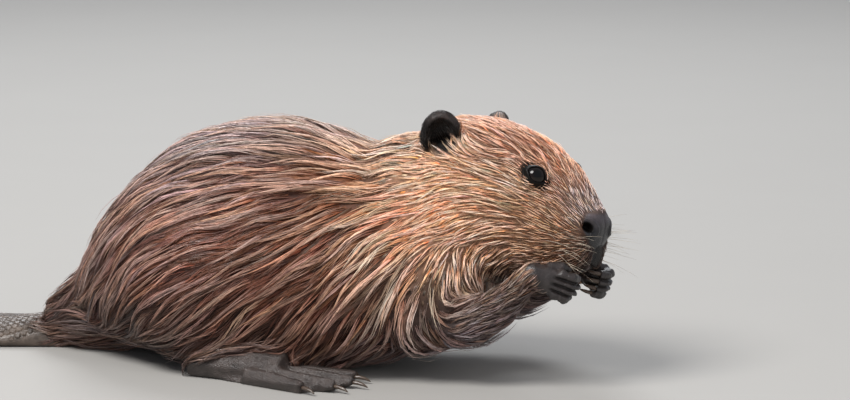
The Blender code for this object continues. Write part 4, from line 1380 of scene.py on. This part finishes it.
def makeWhiskers(side, sign, material):
    dice = np.random.default_rng(whiskerPlan["seed"] + (side == "R"))
    points, faces = [], []
    count, steps = whiskerPlan["sides"], whiskerPlan["steps"]
    for across, root in zip(*whiskerRoots[side]):
        if across[0] < 0.4 and across[2] < 0.45:      # the paws are there
            continue
        spine, way, share = whiskerSpine(root, across, sign, dice)
        one = unit(np.cross(way, (0.0, 0.0, 1.0)))
        two = np.cross(one, way)
        start = len(points)
        for step in range(steps):
            radius = whiskerPlan["radius"] * (1.0 - whiskerPlan["thinning"] * share[step])
            for k in range(count):
                angle = math.tau * k / count
                points.append(spine[step] + (one * math.cos(angle) + two * math.sin(angle)) * radius)
        for step in range(steps - 1):
            for k in range(count):
                a, b = start + step * count + k, start + step * count + (k + 1) % count
                faces += [(a, b, b + count), (a, b + count, a + count)]
        last = start + (steps - 1) * count
        for k in range(1, count - 1):
            faces += [(start, start + k + 1, start + k), (last, last + k, last + k + 1)]
    mesh = meshOf("whiskers_" + side, np.array(points), np.array(faces))
    mesh.materials.append(material)
    newPiece("whiskers_" + side, mesh)


def paleBristle(tree):
    # horn-pale bristle, a little glossy, with darker stretches 11 mm long
    place = addNode(tree, "ShaderNodeTexCoord").outputs["Object"]
    noise = addNode(tree, "ShaderNodeTexNoise", {"Vector": place, "Scale": perMetre(11.11)})
    ramp = addNode(tree, "ShaderNodeValToRGB", {"Fac": noise})
    setStops(ramp, tuple(zip((0.35, 0.6), whiskerPlan["colours"])))
    return {"Base Color": ramp, "Roughness": 0.3}


bristle = makeMaterial(paleBristle)
for side, sign in sides.items():
    makeWhiskers(side, sign, bristle)
print("whiskers done")

scalePlan = {
    "Long": 0.0058, "Wide": 0.0050, "Rise": 0.0007,     # metres, one scale
    "Tilt": 0.09,             # radians, the free edge raised
    "step": 0.0046, "across": 0.0048,                   # from row to row, and along a row
    "lift": 0.00025,
    "back": -0.345, "front": -0.120, "side": 0.070,     # where the rows are laid
    "colour": "#4e443c",
    "fields": {"bare": 1.0, "leather": 0.3, "shine": 0.5},      # as the wet hide reads them
}


def scaleTree():
    # a low eight-sided scale at every place, turned and sized as the place says
    tree, given = newNodeGroup("scalesOnTail", (("Long", "Float"), ("Wide", "Float"), ("Rise", "Float"),
                                                ("Tilt", "Float"), ("Material", "Material")))
    one = addNode(tree, "GeometryNodeMeshCone", {"Vertices": 8, "Radius Top": 0.31, "Radius Bottom": 0.5,
                                                 "Depth": 1.0}, fill_type="TRIANGLE_FAN")
    size = addNode(tree, "ShaderNodeCombineXYZ", {"X": given["Long"], "Y": given["Wide"], "Z": given["Rise"]})
    tilt = addNode(tree, "ShaderNodeCombineXYZ", {"Y": given["Tilt"]})
    shaped = addNode(tree, "GeometryNodeTransform", {"Geometry": one, "Scale": size})
    tilted = addNode(tree, "GeometryNodeTransform", {"Geometry": shaped, "Rotation": tilt})
    turn, grown = (addNode(tree, "GeometryNodeInputNamedAttribute", {"Name": name}, data_type=kind)
                   for name, kind in (("turn", "FLOAT_VECTOR"), ("size", "FLOAT")))
    placed = addNode(tree, "GeometryNodeInstanceOnPoints", {
        "Points": given["Geometry"], "Instance": tilted, "Rotation": turn, "Scale": grown})
    real = addNode(tree, "GeometryNodeRealizeInstances", {"Geometry": placed})
    dressed = addNode(tree, "GeometryNodeSetMaterial", {"Geometry": real, "Material": given["Material"]})
    addNode(tree, "NodeGroupOutput", {"Geometry": dressed})
    return tree


def scalePlaces():
    # rows over the top of the tail, every other row moved by half a scale
    onTail = readField(hideMesh, "on_tail")
    side, across = scalePlan["side"], scalePlan["across"]
    places, turns = [], []
    for row, x in enumerate(np.arange(scalePlan["back"], scalePlan["front"], scalePlan["step"])):
        for y in np.arange(-side + (row % 2) * across / 2.0, side, across):
            middle, up, face, _ = ground.tree.ray_cast(Vector((x, y, 0.08)), Vector((0, 0, -1)))
            if middle and onTail[ground.corners[face]].min() > 0.85 and up.z > 0.25:
                front = (Vector((1.0, 0.0, 0.0)) - up * up.x).normalized()
                places.append(middle + up * scalePlan["lift"])
                turns.append(Matrix((front, up.cross(front), up)).transposed().to_euler())
    return places, turns


def makeTailScales():
    places, turns = scalePlaces()
    count = len(places)
    mesh = bpy.data.meshes.new("scalePlaces")
    mesh.from_pydata(places, [], [])
    turn = mesh.attributes.new("turn", "FLOAT_VECTOR", "POINT")
    turn.data.foreach_set("vector", np.array(turns, dtype=np.float32).ravel())
    writeField(mesh, "size", rng.uniform(0.92, 1.08, count))
    writeColours(mesh, "coatColour", np.outer(rng.uniform(0.75, 1.25, count), linear(scalePlan["colour"])))
    for name, value in scalePlan["fields"].items():
        writeField(mesh, name, np.full(count, value))
    mesh = throughNodes(mesh, scaleTree(), dict(scalePlan, Material=hideMesh.materials[0]))
    newPiece("tail_scales", mesh)
    print("tail:", count, "scales")


makeTailScales()

studio = {
    "target": (0.1735, 0.0, 0.135), "azimuth": 16.0, "elevation": 9.0, "distance": 3.5,
    "width": 0.68,            # metres across the picture at the target
    "floor": "#9a9894",
    "sky": ((0.86, 0.90, 1.0, 1.0), 0.45),
    "litFrom": (0.05, 0.0, 0.1),      # where the lamps aim
    # place, size in metres, watts and colour
    "lamps": {
        "key": ((-0.9, -1.8, 2.6), 1.7, 134.0, (1.0, 0.98, 0.96)),
        "fill": ((2.4, -2.4, 1.6), 4.0, 72.0, (1.0, 0.98, 0.97)),
        "back": ((-0.6, 2.0, 2.2), 1.8, 60.0, (0.95, 0.97, 1.0)),
    },
}


def aimed(name, data, place, target):
    thing = linked(name, data)
    thing.location = place
    thing.rotation_euler = (Vector(target) - Vector(place)).to_track_quat("-Z", "Y").to_euler()
    return thing


def paperSweep(tree):
    # a matt paper sweep, its tone barely cloudy over 17 cm
    place = addNode(tree, "ShaderNodeTexCoord").outputs["Object"]
    cloud = addNode(tree, "ShaderNodeTexNoise", {"Vector": place, "Scale": perMetre(166.7)})
    ramp = addNode(tree, "ShaderNodeValToRGB", {"Fac": cloud})
    setStops(ramp, ((0.0, studio["floor"]), (1.0, studio["floor"])))
    first = ramp.color_ramp.elements[0]
    first.color = (*(0.97 * v for v in first.color[:3]), 1.0)
    return {"Base Color": ramp, "Roughness": 0.85}


def makeFloor():
    work = bmesh.new()
    bmesh.ops.create_grid(work, x_segments=1, y_segments=1, size=14.0)
    mesh = meshFrom(work, "floor")
    mesh.materials.append(makeMaterial(paperSweep))
    linked("floor", mesh)


def makeStudio():
    scene = bpy.context.scene
    azimuth, elevation = math.radians(studio["azimuth"]), math.radians(studio["elevation"])
    away = Vector((math.sin(azimuth) * math.cos(elevation), -math.cos(azimuth) * math.cos(elevation),
                   math.sin(elevation))) * studio["distance"]
    lens = bpy.data.cameras.new("camera")
    lens.sensor_width = 36.0
    lens.lens = 36.0 * studio["distance"] / studio["width"]
    lens.clip_end = 60.0
    scene.camera = aimed("camera", lens, Vector(studio["target"]) + away, studio["target"])
    for name, (place, size, watts, colour) in studio["lamps"].items():
        light = bpy.data.lights.new(name, "AREA")
        light.shape = "DISK"
        light.size = size
        light.energy = watts
        light.color = colour
        aimed(name, light, place, studio["litFrom"]).visible_glossy = name != "fill"
    scene.world = bpy.data.worlds.new("studio")
    scene.world.use_nodes = True
    sky = scene.world.node_tree.nodes["Background"].inputs
    sky["Color"].default_value, sky["Strength"].default_value = studio["sky"]
    scene.view_settings.view_transform = "Standard"
    makeFloor()


makeStudio()
print("studio ready")
